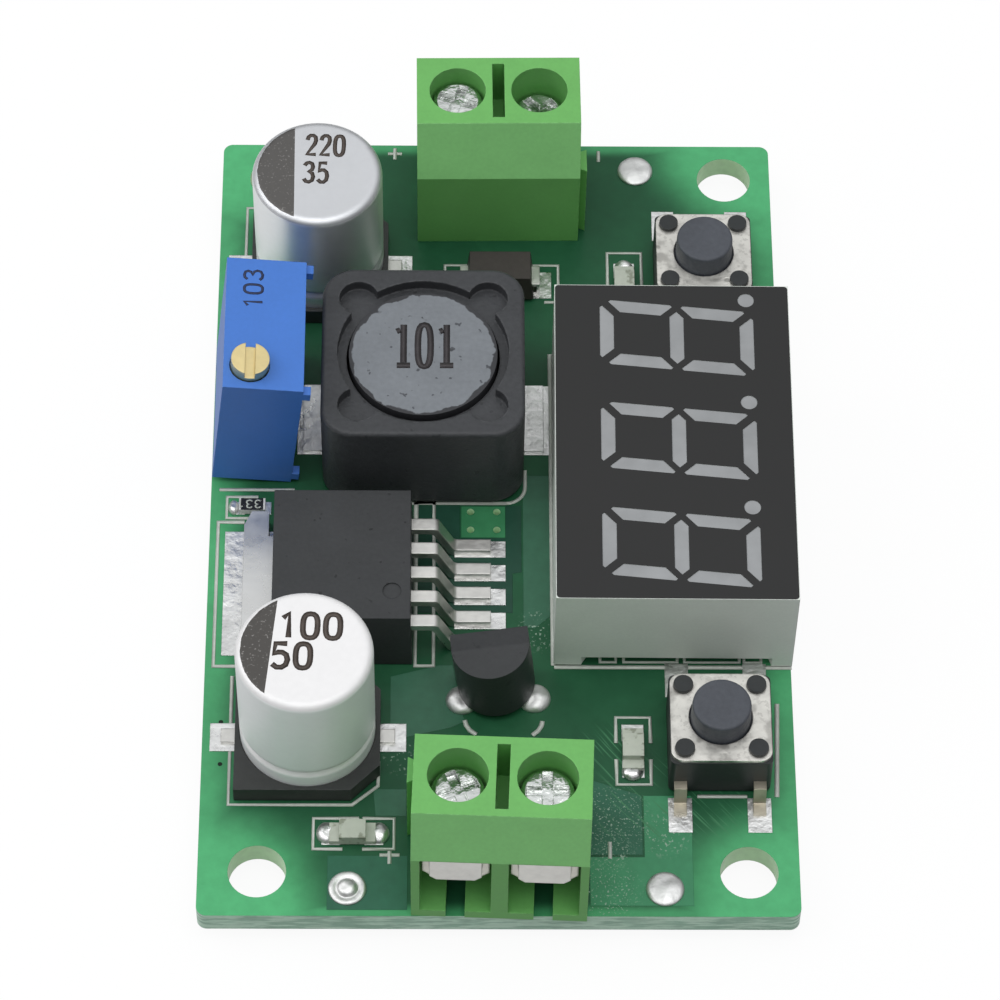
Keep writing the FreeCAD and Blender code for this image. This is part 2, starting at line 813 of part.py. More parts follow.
def capacitor_leads(name):
    made = body(name)
    side = sketch(made, "XZ_Plane")
    low, high = "solder_film", "solder_film + capacitor_lead_thickness"
    for way in ("-", ""):
        root, bend = f"{way}capacitor_lead_root", f"{way}(capacitor_lead_root + capacitor_lead_thickness)"
        reach = f"{way}capacitor_lead_reach"
        outline(side, [(root, low), (reach, low), (reach, high), (bend, high), (bend, CAN_BOTTOM),
                       (root, CAN_BOTTOM)])
    pad(made, side, "capacitor_lead_width", both=True)
    return made


def capacitor_base(name):
    made = body(name + "_blank")
    plan = sketch(made, "XY_Plane", "solder_film")
    half, cropped = CAPACITOR_HALF, f"({CAPACITOR_HALF} - capacitor_base_cut)"
    outline(plan, [(f"-{half}", f"-{half}"), (cropped, f"-{half}"), (half, f"-{cropped}"),
                   (half, cropped), (cropped, half), (f"-{half}", half)])
    pad(made, plan, "capacitor_base_height")
    dish = sketch(made, "XY_Plane", "solder_film + capacitor_base_height")
    circle(dish, "0", "0", "can_diameter + 2 * capacitor_fit")
    pocket(made, dish, "capacitor_base_height - capacitor_base_floor")
    return made


def capacitor_can(name):
    made = body(name)
    half = sketch(made, "XZ_Plane")
    radius = "can_diameter / 2"
    outline(half, [
        ("0", CAN_BOTTOM), (radius, CAN_BOTTOM), (radius, f"{GROOVE_LEVEL} - can_groove_width / 2"),
        (f"{radius} - can_groove_depth", GROOVE_LEVEL),
        (radius, f"{GROOVE_LEVEL} + can_groove_width / 2"), (radius, "can_top"), ("0", "can_top"),
    ])
    turned(made, half)
    fillet(made, at_height("can_top"), "can_edge_radius")
    return made


for end, where in CAPACITORS.items():
    leads = place(capacitor_leads(f"{end}_capacitor_leads_body"), *where)
    base = place(capacitor_base(f"{end}_capacitor_base"), *where)
    node(cut(f"{end}_capacitor_base_cut", base, leads), f"{end}_capacitor_base")
    node(leads, f"{end}_capacitor_leads")
    node(place(capacitor_can(f"{end}_can_body"), *where), f"{end}_capacitor_can")


# Shielded power inductor: drum core and winding inside a square ferrite shield

INDUCTOR_PLACE = ("inductor_across", INDUCTOR_ALONG)
INDUCTOR_FOOT = "(solder_film + inductor_terminal_thickness)"
CORE_TOP = "(inductor_height - core_sink)"


def inductor_shield():
    made = body("inductor_shield_body")
    plan = sketch(made, "XY_Plane", INDUCTOR_FOOT)
    rectangle(plan, "0", "0", "inductor_size", "inductor_size")
    pad(made, plan, f"inductor_height - {INDUCTOR_FOOT}")
    fillet(made, upright, "inductor_corner_radius")
    fillet(made, at_height("inductor_height"), "inductor_edge_radius")
    bore = sketch(made, "XY_Plane", "inductor_height")
    circle(bore, "0", "0", "core_flange_diameter + 2 * inductor_bore_gap")
    pocket(made, bore, "inductor_height")
    recess = sketch(made, "XY_Plane", "inductor_height")
    circle(recess, "0", "0", "inductor_recess")
    pocket(made, recess, "inductor_recess_depth")
    for x, y in (("", ""), ("", "-"), ("-", ""), ("-", "-")):
        lobe = sketch(made, "XY_Plane", "inductor_height")
        circle(lobe, f"{x}inductor_lobe_offset", f"{y}inductor_lobe_offset", "inductor_lobe_diameter")
        pocket(made, lobe, "inductor_recess_depth")
    return made


def inductor_core():
    made = body("inductor_core_body")
    half = sketch(made, "XZ_Plane")
    flange, shaft = "core_flange_diameter / 2", "core_shaft_diameter / 2"
    outline(half, [
        ("0", INDUCTOR_FOOT), (flange, INDUCTOR_FOOT), (flange, f"{INDUCTOR_FOOT} + core_flange_height"),
        (shaft, f"{INDUCTOR_FOOT} + core_flange_height"), (shaft, f"{CORE_TOP} - core_flange_height"),
        (flange, f"{CORE_TOP} - core_flange_height"), (flange, CORE_TOP), ("0", CORE_TOP),
    ])
    turned(made, half)
    return made


def inductor_coil():
    made = body("inductor_coil_body")
    ring = sketch(made, "XY_Plane", f"{INDUCTOR_FOOT} + core_flange_height")
    circle(ring, "0", "0", "coil_diameter")
    circle(ring, "0", "0", "core_shaft_diameter + coil_gap")
    pad(made, ring, f"{CORE_TOP} - {INDUCTOR_FOOT} - 2 * core_flange_height - coil_gap")
    return made


def inductor_terminals():
    made = body("inductor_terminals_body")
    plan = sketch(made, "XY_Plane", "solder_film")
    for way in ("-", ""):
        rectangle(plan, f"({way}inductor_terminal_root + {way}{INDUCTOR_REACH}) / 2", "0",
                  f"{INDUCTOR_REACH} - inductor_terminal_root", "inductor_terminal_width")
    pad(made, plan, "inductor_terminal_thickness")
    return made


for label, made in {
    "inductor_shield": inductor_shield(),
    "inductor_core": inductor_core(),
    "inductor_coil": inductor_coil(),
    "inductor_terminals": inductor_terminals(),
}.items():
    node(place(made, *INDUCTOR_PLACE), label)


# Drafted mouldings: a block between a rectangle below and a smaller one above

def drafted(owner, low, high, width, depth, side_draft, end_draft, x="0", y="0"):
    under = sketch(owner, "XY_Plane", low)
    rectangle(under, x, y, width, depth)
    over = sketch(owner, "XY_Plane", high)
    rectangle(over, x, y, f"{width} - 2 * {end_draft}", f"{depth} - 2 * {side_draft}")
    made = owner.newObject("PartDesign::AdditiveLoft", owner.Name + "_loft")
    made.Profile = under
    made.Sections = [over]
    made.Ruled = True
    doc.recompute()
    return made


# Regulator. Its own frame stands at the middle of the side its leads come from

REGULATOR_PLACE = ("regulator_lead_side", REGULATOR_ALONG)
FIRST_LEAD = "(lead_row_offset - (lead_count - 1) / 2 * lead_pitch)"


def regulator_tab():
    made = body("regulator_tab_body")
    plan = sketch(made, "XY_Plane", "solder_film")
    end, neck = "-(regulator_length + tab_reach)", "-(regulator_length + tab_notch_width)"
    root = "-(regulator_length - tab_tongue)"
    wide, narrow = "tab_breadth / 2", "(tab_breadth / 2 - tab_notch_depth)"
    outline(plan, [
        (root, f"-{narrow}"), (root, narrow), (neck, narrow), (neck, wide),
        (f"{end} + tab_corner_cut", wide), (end, f"{wide} - tab_corner_length"),
        (end, f"-({wide} - tab_corner_length)"), (f"{end} + tab_corner_cut", f"-{wide}"),
        (neck, f"-{wide}"), (neck, f"-{narrow}"),
    ])
    pad(made, plan, "tab_thickness")
    return made


def regulator_leads():
    made = body("regulator_leads_body")
    side = sketch(made, "XZ_Plane", f"-{FIRST_LEAD}")
    slope = "bend_slope * lead_thickness"
    outline(side, [
        ("-lead_root", "lead_level"), (f"lead_knee - {slope}", "lead_level"),
        (f"lead_ankle - {slope}", "solder_film"), ("lead_toe", "solder_film"),
        ("lead_toe", "solder_film + lead_thickness"),
        (f"lead_ankle + {slope}", "solder_film + lead_thickness"),
        (f"lead_knee + {slope}", "lead_level + lead_thickness"),
        ("-lead_root", "lead_level + lead_thickness"),
    ])
    first = pad(made, side, "lead_width", both=True)
    repeated(made, [first], "Y_Axis", "lead_count", "lead_pitch")

    def bend(edge):
        box = edge.BoundBox
        level = box.XLength < 1e-6 and box.ZLength < 1e-6
        return level and value(f"lead_knee - 2 * {slope}") < box.XMin < value(f"lead_ankle + 2 * {slope}")

    fillet(made, bend, "lead_bend_radius")
    return made


def regulator_moulding():
    made = body("regulator_moulding")
    drafted(made, "solder_film", "regulator_height", "regulator_length", "regulator_breadth",
            "regulator_side_draft", "regulator_end_draft", "-regulator_length / 2")
    mark = sketch(made, "XY_Plane", "regulator_height")
    circle(mark, "-regulator_mark_inset", "-(regulator_breadth / 2 - 2 * regulator_mark_inset)",
           "regulator_mark_diameter")
    pocket(made, mark, "regulator_mark_depth")
    return made


tab, leads = place(regulator_tab(), *REGULATOR_PLACE), place(regulator_leads(), *REGULATOR_PLACE)
moulding = place(regulator_moulding(), *REGULATOR_PLACE)
node(cut("regulator_body_cut", moulding, joined("regulator_metal", [tab, leads])), "regulator_body")
node(tab, "regulator_tab")
node(leads, "regulator_leads")


# Three-lead reference: flat at the back, round in front, leaning on its leads

REFERENCE_SPOT = ("reference_across", f"{REGULATOR_ALONG} + {FIRST_LEAD} - reference_from_lead")
REFERENCE_PLACE = (*REFERENCE_SPOT, "board_thickness", "reference_turn")


def reference_moulding():
    made = body("reference_moulding")
    round_half = sketch(made, "XY_Plane")
    circle(round_half, "0", "reference_round_offset", "reference_round_diameter")
    pad(made, round_half, "reference_height")
    behind = sketch(made, "XY_Plane", "reference_height")
    rectangle(behind, "0", "reference_flat_depth + reference_width / 2", "2 * reference_width",
              "reference_width")
    pocket(made, behind, "reference_height")
    corners = sketch(made, "XY_Plane")
    rectangle(corners, "0", "reference_flat_depth / 2", "reference_width", "reference_flat_depth")
    pad(made, corners, "reference_height")
    fall = sketch(made, "YZ_Plane")
    outline(fall, [("0", "reference_height"), ("reference_flat_depth", "reference_height - reference_top_fall"),
                   ("reference_flat_depth", "reference_height")])
    pocket(made, fall, "reference_width", both=True)
    return made


def reference_leads(holder):
    made = body("reference_leads_body")
    side = sketch(made, "XZ_Plane", "-reference_lead_offset")
    half, root, end = "reference_lead_size / 2", "reference_lead_root", "-board_thickness - pin_stub"
    rectangle(side, "0", f"({root} + ({end})) / 2", "reference_lead_size", f"{root} - ({end})")
    for way in ("-", ""):
        inner = f"{way}(reference_lead_pitch - {half})", f"{way}(reference_pad_pitch - {half})"
        outer = f"{way}(reference_lead_pitch + {half})", f"{way}(reference_pad_pitch + {half})"
        outline(side, [(inner[0], root), (inner[0], "reference_stand"), (inner[1], "0"), (inner[1], end),
                       (outer[1], end), (outer[1], "0"), (outer[0], "reference_stand"), (outer[0], root)])
    pad(made, side, "reference_lead_size", both=True)
    for name, across in (("left", "-reference_pad_pitch"), ("middle", "0"), ("right", "reference_pad_pitch")):
        through_pin(f"reference_{name}", across, "reference_lead_offset", "reference_lead_size", holder)
    return made


holder = ([], [])
leads = place(reference_leads(holder), *REFERENCE_PLACE)
moulding = place(reference_moulding(), *REFERENCE_SPOT, "board_thickness + reference_stand",
                 "reference_turn", "reference_lean")
through_group("reference", holder, REFERENCE_PLACE)
node(cut("reference_body_cut", moulding, leads), "reference_body")
node(leads, "reference_leads")


# Square multi-turn trimmer: a screw with a worm that turns a toothed wheel behind a ceramic plate

LEAN = "(trimmer_lean * 1 deg)"
TRIMMER_RISE = f"(board_thickness + trimmer_lift + trimmer_width / 2 * sin{LEAN})"
WHEEL_ALONG = "(trimmer_screw_along + trimmer_worm_diameter / 2 + rotor_diameter / 2 + trimmer_running_gap)"
WHEEL_LEVEL = "(trimmer_height - trimmer_wall - trimmer_worm_length / 2)"
ELEMENT_ACROSS = "(trimmer_screw_across + rotor_thickness / 2 + rotor_hub_length / 2)"
CASE_TOP = "(trimmer_height - trimmer_wall)"


def leaning(thing, x="0", y="0", z="0"):
    across = f"{TRIMMER_ACROSS} + ({x}) * cos{LEAN} + ({z}) * sin{LEAN}"
    up = f"{TRIMMER_RISE} - ({x}) * sin{LEAN} + ({z}) * cos{LEAN}"
    return place(thing, across, f"{TRIMMER_ALONG} + {y}", up, "0", "trimmer_lean")


def trimmer_housing():
    made = body("trimmer_housing_body")
    plan = sketch(made, "XY_Plane")
    rectangle(plan, "0", "0", "trimmer_width", "trimmer_length")
    pad(made, plan, "trimmer_height")
    inside = sketch(made, "XY_Plane")
    rectangle(inside, "0", "0", "trimmer_width - 2 * trimmer_wall", "trimmer_length - 2 * trimmer_wall")
    pocket(made, inside, CASE_TOP, back=True)
    gap = sketch(made, "XY_Plane")
    rectangle(gap, "0", "0", "2 * trimmer_width", "trimmer_length - 2 * trimmer_foot_length")
    pocket(made, gap, "trimmer_foot_height", back=True)
    neck = sketch(made, "XY_Plane", "trimmer_height")
    circle(neck, "trimmer_screw_across", "trimmer_screw_along",
           "trimmer_screw_diameter + 2 * trimmer_running_gap")
    pocket(made, neck, "trimmer_wall")
    for end in ("-", ""):
        nubs = sketch(made, "XZ_Plane", f"{end}(trimmer_length / 2 - trimmer_nub_length / 2)")
        for level in ("trimmer_nub_length", "trimmer_height - trimmer_nub_length"):
            rectangle(nubs, "trimmer_width / 2 + trimmer_nub / 2", level, "trimmer_nub",
                      "trimmer_nub_length")
        pad(made, nubs, "trimmer_nub_length", both=True)
    return made


def trimmer_screw():
    made = body("trimmer_screw_body")
    half = sketch(made, "XZ_Plane")
    head, worm = "trimmer_screw_diameter / 2", "trimmer_worm_diameter / 2"
    outline(half, [
        ("0", "-trimmer_wall - trimmer_worm_length"), (worm, "-trimmer_wall - trimmer_worm_length"),
        (worm, "-trimmer_wall"), (head, "-trimmer_wall"), (head, "trimmer_screw_proud"),
        ("0", "trimmer_screw_proud"),
    ])
    turned(made, half)
    slot = sketch(made, "XY_Plane", "trimmer_screw_proud")
    rectangle(slot, "0", "0", "trimmer_screw_slot_width", "2 * trimmer_screw_diameter")
    pocket(made, slot, "trimmer_screw_slot_depth")
    return made


def trimmer_rotor():
    made = body("trimmer_rotor_body")
    wheel = sketch(made, "YZ_Plane")
    circle(wheel, "0", "0", "rotor_diameter - 2 * rotor_tooth_height")
    pad(made, wheel, "rotor_thickness", both=True)
    tooth = sketch(made, "YZ_Plane")
    root, tip = "rotor_diameter / 2 - 1.5 * rotor_tooth_height", "rotor_diameter / 2"
    outline(tooth, [(root, "-rotor_tooth_height / 2"), (tip, "-rotor_tooth_height / 4"),
                    (tip, "rotor_tooth_height / 4"), (root, "rotor_tooth_height / 2")])
    teeth = pad(made, tooth, "rotor_thickness", both=True)
    ring = made.newObject("PartDesign::PolarPattern", "rotor_teeth")
    ring.Originals = [teeth]
    ring.Axis = (datum(made, "X_Axis"), [""])
    ring.Angle = 360
    bind(ring, "Occurrences", "rotor_tooth_count")
    made.Tip = ring
    doc.recompute()
    hub = sketch(made, "YZ_Plane")
    circle(hub, "0", "0", "rotor_hub_diameter")
    pad(made, hub, "rotor_thickness / 2 + rotor_hub_length")
    return made


def trimmer_element():
    made = body("trimmer_element_body")
    plate = sketch(made, "YZ_Plane", ELEMENT_ACROSS)
    height = f"({CASE_TOP} - trimmer_base_height)"
    rectangle(plate, "0", f"trimmer_base_height + {height} / 2",
              "trimmer_length - 2 * trimmer_wall - 2 * trimmer_running_gap", height)
    pad(made, plate, "element_thickness")
    axle = sketch(made, "YZ_Plane", ELEMENT_ACROSS)
    circle(axle, WHEEL_ALONG, WHEEL_LEVEL, "rotor_hub_diameter + 2 * trimmer_running_gap")
    pocket(made, axle, "element_thickness", back=True)
    return made


def trimmer_base():
    made = body("trimmer_base_body")
    plan = sketch(made, "XY_Plane", "trimmer_foot_height")
    rectangle(plan, "0", "0", "trimmer_width - 2 * trimmer_wall", "trimmer_length - 2 * trimmer_wall")
    pad(made, plan, "trimmer_base_height - trimmer_foot_height")
    return made


def trimmer_pins(holder):
    pins = []
    low = "-(board_thickness + pin_stub)"
    for name, along in (("front", "-trimmer_pin_pitch"), ("middle", "0"), ("back", "trimmer_pin_pitch")):
        pins.append(cylinder(f"trimmer_{name}_pin", "trimmer_pin_size", f"trimmer_base_height - {low}",
                             "trimmer_pin_across", along, low))
        middle = f"{TRIMMER_ACROSS} + trimmer_pin_across - board_thickness / 2 * sin{LEAN}"
        through_pin(f"trimmer_{name}", middle, along, "trimmer_pin_size", holder)
    return joined("trimmer_pins_group", pins)


holder = ([], [])
pins = leaning(trimmer_pins(holder))
through_group("trimmer", holder, ("0", TRIMMER_ALONG))
node(cut("trimmer_base_cut", leaning(trimmer_base()), pins), "trimmer_base")
node(pins, "trimmer_pins")
node(leaning(trimmer_housing()), "trimmer_housing")
node(leaning(trimmer_element()), "trimmer_element")
node(leaning(trimmer_screw(), "trimmer_screw_across", "trimmer_screw_along", "trimmer_height"),
     "trimmer_screw")
node(leaning(trimmer_rotor(), "trimmer_screw_across", WHEEL_ALONG, WHEEL_LEVEL), "trimmer_rotor")


# Three-digit display: a block with clear segments over a small carrier board on pins

DISPLAY_PLACE = (DISPLAY_ACROSS, DISPLAY_ALONG, "board_thickness", "display_turn")
CARRIER_TOP = "(carrier_level + carrier_thickness)"
FIRST_DIGIT = "(digit_along - (digit_count - 1) / 2 * digit_pitch)"
PIN_ROW = "(display_width / 2 - display_pin_inset)"


def slanted(drawn, corners):
    outline(drawn, [(f"digit_across + ({down})", f"{FIRST_DIGIT} + ({over}) - digit_slant * ({down})")
                    for down, over in corners])


def bar(drawn, down, over, length, way):
    reach, half, nib = f"({length}) / 2", "segment_width / 2", "segment_nib"
    outside, inside = f"{down} - {way} * {half}", f"{down} + {way} * {half}"
    slanted(drawn, [
        (f"{outside} + {way} * {nib}", f"{over} - {reach}"),
        (outside, f"{over} - {reach} + {nib}"),
        (outside, f"{over} + {reach} - {nib}"),
        (f"{outside} + {way} * {nib}", f"{over} + {reach}"),
        (inside, f"{over} + {reach} - segment_width + {nib}"),
        (inside, f"{over} - {reach} + segment_width - {nib}"),
    ])


def post(drawn, down, over, length, way):
    reach, half, nib = f"({length}) / 2", "segment_width / 2", "segment_nib"
    outside, inside = f"{over} + {way} * {half}", f"{over} - {way} * {half}"
    slanted(drawn, [
        (f"{down} - {reach}", f"{outside} - {way} * {nib}"),
        (f"{down} - {reach} + {nib}", outside),
        (f"{down} + {reach} - {nib}", outside),
        (f"{down} + {reach}", f"{outside} - {way} * {nib}"),
        (f"{down} + {reach} - segment_width + {nib}", inside),
        (f"{down} - {reach} + segment_width - {nib}", inside),
    ])


def digit_cells(owner):
    cells = sketch(owner, "XY_Plane", CARRIER_TOP)
    bar_level = "(digit_half_height - segment_width / 2)"
    side = "(digit_half_width - segment_width / 2)"
    bar(cells, f"-{bar_level}", "0", "bar_segment_length", 1)
    bar(cells, bar_level, "0", "bar_segment_length", -1)
    slanted(cells, [
        ("0", "-bar_segment_length / 2"),
        ("-segment_width / 2", "-bar_segment_length / 2 + segment_width / 2"),
        ("-segment_width / 2", "bar_segment_length / 2 - segment_width / 2"),
        ("0", "bar_segment_length / 2"),
        ("segment_width / 2", "bar_segment_length / 2 - segment_width / 2"),
        ("segment_width / 2", "-bar_segment_length / 2 + segment_width / 2"),
    ])
    for centre in ("-post_segment_centre", "post_segment_centre"):
        post(cells, centre, side, "segment_length", 1)
        post(cells, centre, f"-{side}", "segment_length", -1)
    circle(cells, "digit_across + point_across", f"{FIRST_DIGIT} + point_along", "point_diameter")
    return cells


def display_segments():
    made = body("display_segments_body")
    digit = pad(made, digit_cells(made), f"display_top - segment_sink - {CARRIER_TOP}")
    repeated(made, [digit], "Y_Axis", "digit_count", "digit_pitch")
    return made


def display_housing():
    made = body("display_block")
    plan = sketch(made, "XY_Plane", "display_stand")
    rectangle(plan, "0", "0", "display_width", "display_length")
    pad(made, plan, "display_top - display_stand")
    under = sketch(made, "XY_Plane")
    rectangle(under, "0", "0", "display_width - 2 * display_wall", "display_length - 2 * display_wall")
    pocket(made, under, CARRIER_TOP, back=True)
    notch = sketch(made, "XZ_Plane", "display_length / 2")
    half = "display_notch_width / 2"
    outline(notch, [(f"-{half}", "0"), (half, "0"), (f"{half} - display_notch_slope", "display_notch_height"),
                    (f"-{half} + display_notch_slope", "display_notch_height")])
    pocket(made, notch, "2 * display_wall", back=True)
    digit = pocket(made, digit_cells(made), f"display_top - {CARRIER_TOP}", back=True)
    repeated(made, [digit], "Y_Axis", "digit_count", "digit_pitch")
    return made


def display_carrier():
    made = body("display_carrier_board")
    slack = "2 * (display_wall + carrier_clearance)"
    plan = sketch(made, "XY_Plane", "carrier_level")
    rectangle(plan, "0", "0", f"display_width - {slack}", f"display_length - {slack}")
    pad(made, plan, "carrier_thickness")
    return made


def display_pins(holder):
    pins = []
    low, unused = "-(board_thickness + pin_stub)", ("right", 0)
    for side, across in (("left", f"-{PIN_ROW}"), ("right", PIN_ROW)):
        for count in range(int(value("display_pin_count"))):
            if (side, count) == unused:
                continue
            along = f"({count} - (display_pin_count - 1) / 2) * display_pin_pitch"
            pins.append(cylinder(f"display_{side}_{count}_pin", "display_pin_diameter",
                                 f"{CARRIER_TOP} - {low}", across, along, low))
            through_pin(f"display_{side}_{count}", across, along, "display_pin_diameter", holder)
    return joined("display_pins_group", pins)


holder = ([], [])
pins = place(display_pins(holder), *DISPLAY_PLACE)
through_group("display", holder, DISPLAY_PLACE)
node(place(display_housing(), *DISPLAY_PLACE), "display_housing")
node(place(display_segments(), *DISPLAY_PLACE), "display_segments")
node(cut("display_carrier_cut", place(display_carrier(), *DISPLAY_PLACE), pins), "display_carrier")
node(pins, "display_pins")


# Push switches: a moulded base with four posts, a metal cover, a snap dome and a sprung button

WELL_FLOOR = "(switch_base_top - switch_well_depth)"
COVER_TOP = "(switch_base_top + switch_cover_thickness)"
DOME_TOP = f"({WELL_FLOOR} + dome_rise)"
FLANGE_TOP = "(switch_base_top - button_gap)"
SWITCH_REACH = "(display_length / 2 + switch_lead_toe + switch_size / 2)"
SWITCHES = {
    "front": ("front_switch_across", f"{DISPLAY_ALONG} - {SWITCH_REACH} - front_switch_gap"),
    "back": ("back_switch_across", f"{DISPLAY_ALONG} + {SWITCH_REACH} + back_switch_gap"),
}


def post_circles(drawn, diameter):
    for x in ("-switch_post_spacing / 2", "switch_post_spacing / 2"):
        for y in ("-switch_post_spacing / 2", "switch_post_spacing / 2"):
            circle(drawn, x, y, diameter)


def switch_leads(name):
    made = body(name)
    top, slope = "switch_lead_level + switch_lead_thickness", "bend_slope * switch_lead_thickness"
    profile = [
        ("-switch_lead_root", "switch_lead_level"),
        (f"switch_lead_knee - {slope}", "switch_lead_level"),
        (f"switch_lead_ankle - {slope}", "solder_film"),
        ("switch_lead_toe", "solder_film"),
        ("switch_lead_toe", "solder_film + switch_lead_thickness"),
        (f"switch_lead_ankle + {slope}", "solder_film + switch_lead_thickness"),
        (f"switch_lead_knee + {slope}", top),
        ("-switch_lead_root", top),
    ]
    for way in ("-", ""):
        side = sketch(made, "YZ_Plane", "-switch_lead_spacing / 2")
        outline(side, [(f"{way}(switch_size / 2 + {reach})", level) for reach, level in profile])
        lead = pad(made, side, "switch_lead_width", both=True)
        repeated(made, [lead], "X_Axis", "2", "switch_lead_spacing")
    return made


def switch_base(name):
    made = body(name)
    plan = sketch(made, "XY_Plane", "switch_stand")
    rectangle(plan, "0", "0", "switch_size", "switch_size")
    pad(made, plan, "switch_base_top - switch_stand")
    fillet(made, upright, "switch_corner_radius")
    posts = sketch(made, "XY_Plane", "switch_base_top")
    post_circles(posts, "switch_post_diameter")
    pad(made, posts, "switch_cover_thickness + switch_post_proud")
    well = sketch(made, "XY_Plane", "switch_base_top")
    circle(well, "0", "0", "dome_diameter + 2 * dome_clearance")
    pocket(made, well, "switch_well_depth")
    return made


def switch_cover(name):
    made = body(name)
    plan = sketch(made, "XY_Plane", "switch_base_top")
    rectangle(plan, "0", "0", "switch_size - 2 * switch_cover_inset", "switch_size - 2 * switch_cover_inset")
    pad(made, plan, "switch_cover_thickness")
    fillet(made, upright, "switch_cover_radius")
    holes = sketch(made, "XY_Plane", COVER_TOP)
    post_circles(holes, "switch_post_diameter")
    circle(holes, "0", "0", "button_diameter + 2 * button_taper + 2 * button_clearance")
    pocket(made, holes, "switch_cover_thickness")
    return made


def switch_button(name):
    made = body(name)
    half = sketch(made, "XZ_Plane")
    stem, flange = "button_diameter / 2", "button_flange_diameter / 2"
    outline(half, [
        ("0", DOME_TOP), ("plunger_diameter / 2", DOME_TOP),
        ("plunger_diameter / 2", f"{FLANGE_TOP} - button_flange_thickness"),
        (flange, f"{FLANGE_TOP} - button_flange_thickness"), (flange, FLANGE_TOP),
        (f"{stem} + button_taper", FLANGE_TOP), (stem, "button_top"), ("0", "button_top"),
    ])
    turned(made, half)
    fillet(made, at_height("button_top"), "button_edge_radius")
    return made


def switch_dome(name):
    made = body(name)
    half = sketch(made, "XZ_Plane")
    rim, crown = "dome_diameter / 2", "dome_crown_diameter / 2"
    outline(half, [
        ("0", DOME_TOP), (crown, DOME_TOP), (rim, f"{WELL_FLOOR} + dome_thickness"), (rim, WELL_FLOOR),
        (f"{rim} - dome_thickness", WELL_FLOOR),
        (f"{crown} - dome_thickness / 2", f"{DOME_TOP} - dome_thickness"),
        ("0", f"{DOME_TOP} - dome_thickness"),
    ])
    turned(made, half)
    return made


for end, where in SWITCHES.items():
    leads = place(switch_leads(f"{end}_switch_leads_body"), *where)
    base = place(switch_base(f"{end}_switch_base_body"), *where)
    node(cut(f"{end}_switch_base_cut", base, leads), f"{end}_switch_base")
    node(leads, f"{end}_switch_leads")
    node(place(switch_cover(f"{end}_switch_cover_body"), *where), f"{end}_switch_cover")
    node(place(switch_button(f"{end}_switch_button_body"), *where), f"{end}_switch_button")
    node(place(switch_dome(f"{end}_switch_dome_body"), *where), f"{end}_switch_dome")


# Diode: a flat moulding on two folded leads

DIODE_PLACE = ("diode_across", f"{BACK} - diode_from_back")


def diode_leads():
    made = body("diode_leads_body")
    side = sketch(made, "XZ_Plane")
    for way in ("-", ""):
        root = f"{way}(diode_length / 2 - diode_lead_root)"
        outer = f"{way}(diode_length / 2 + diode_lead_reach)"
        inner = f"{way}(diode_length / 2 + diode_lead_reach - diode_lead_thickness)"
        toe = f"{way}(diode_length / 2 + diode_lead_reach - diode_foot)"
        sole = "solder_film + diode_lead_thickness"
        outline(side, [
            (root, "diode_lead_level"), (inner, "diode_lead_level"), (inner, sole), (toe, sole),
            (toe, "solder_film"), (outer, "solder_film"),
            (outer, "diode_lead_level + diode_lead_thickness"),
            (root, "diode_lead_level + diode_lead_thickness"),
        ])
    pad(made, side, "diode_lead_width", both=True)
    return made


def diode_moulding():
    made = body("diode_moulding")
    drafted(made, "solder_film + diode_lead_thickness", "diode_height", "diode_length", "diode_breadth",
            "diode_draft", "diode_draft")
    return made


leads = place(diode_leads(), *DIODE_PLACE)
node(cut("diode_body_cut", place(diode_moulding(), *DIODE_PLACE), leads), "diode_body")
node(leads, "diode_leads")


# Indicator chips and chip resistors lie on their solder

def indicator(name, x, y, turn):
    carrier = box(name + "_carrier", "led_length", "led_width", "led_substrate", "0", "0", "solder_film")
    lens = box(name + "_lens", "led_lens_length", "led_width", "led_lens_height", "0", "0",
               "solder_film + led_substrate")
    return place(joined(name, [carrier, lens]), x, y, "board_thickness", turn)


def resistor(name, x, y, turn):
    pieces = [box(name + "_chip", "resistor_length - 2 * resistor_cap", "resistor_width",
                  "resistor_height", "0", "0", "solder_film")]
    for side, across in (("left", "-(resistor_length - resistor_cap) / 2"),
                         ("right", "(resistor_length - resistor_cap) / 2")):
        pieces.append(box(f"{name}_{side}_cap", "resistor_cap", "resistor_width",
                          "resistor_height + resistor_cap_proud", across, "0", "solder_film"))
    return place(joined(name, pieces), x, y, "board_thickness", turn)


INDICATORS = {
    "power": ("power_led_across", f"{FRONT} + power_led_share * {INPUT_STRIP}", "0"),
    "input": ("input_led_across", f"{DISPLAY_ALONG} - display_length / 2 - input_led_from_display", "90"),
    "output": ("output_led_across", f"{DISPLAY_ALONG} + display_length / 2 + output_led_from_display", "90"),
}
RESISTORS = {"first": ("resistor_across", "board_shift_along + resistor_along", "0")}
for count in range(int(value("hidden_resistor_count"))):
    across = f"{DISPLAY_ACROSS} + {PIN_ROW} - hidden_resistor_from_pins"
    along = f"{DISPLAY_ALONG} + hidden_resistor_along + {count} * hidden_resistor_pitch"
    RESISTORS[f"hidden_{count}"] = (across, along, "0")
node(joined("indicator_group", [indicator(f"{key}_indicator", *at) for key, at in INDICATORS.items()]),
     "indicator_leds")
node(joined("resistor_group", [resistor(f"{key}_resistor", *at) for key, at in RESISTORS.items()]),
     "chip_resistors")


# Meter chip under the display, with a row of feet on each long side

METER_PLACE = (f"{DISPLAY_ACROSS} + meter_chip_across", f"{DISPLAY_ALONG} + meter_chip_along")


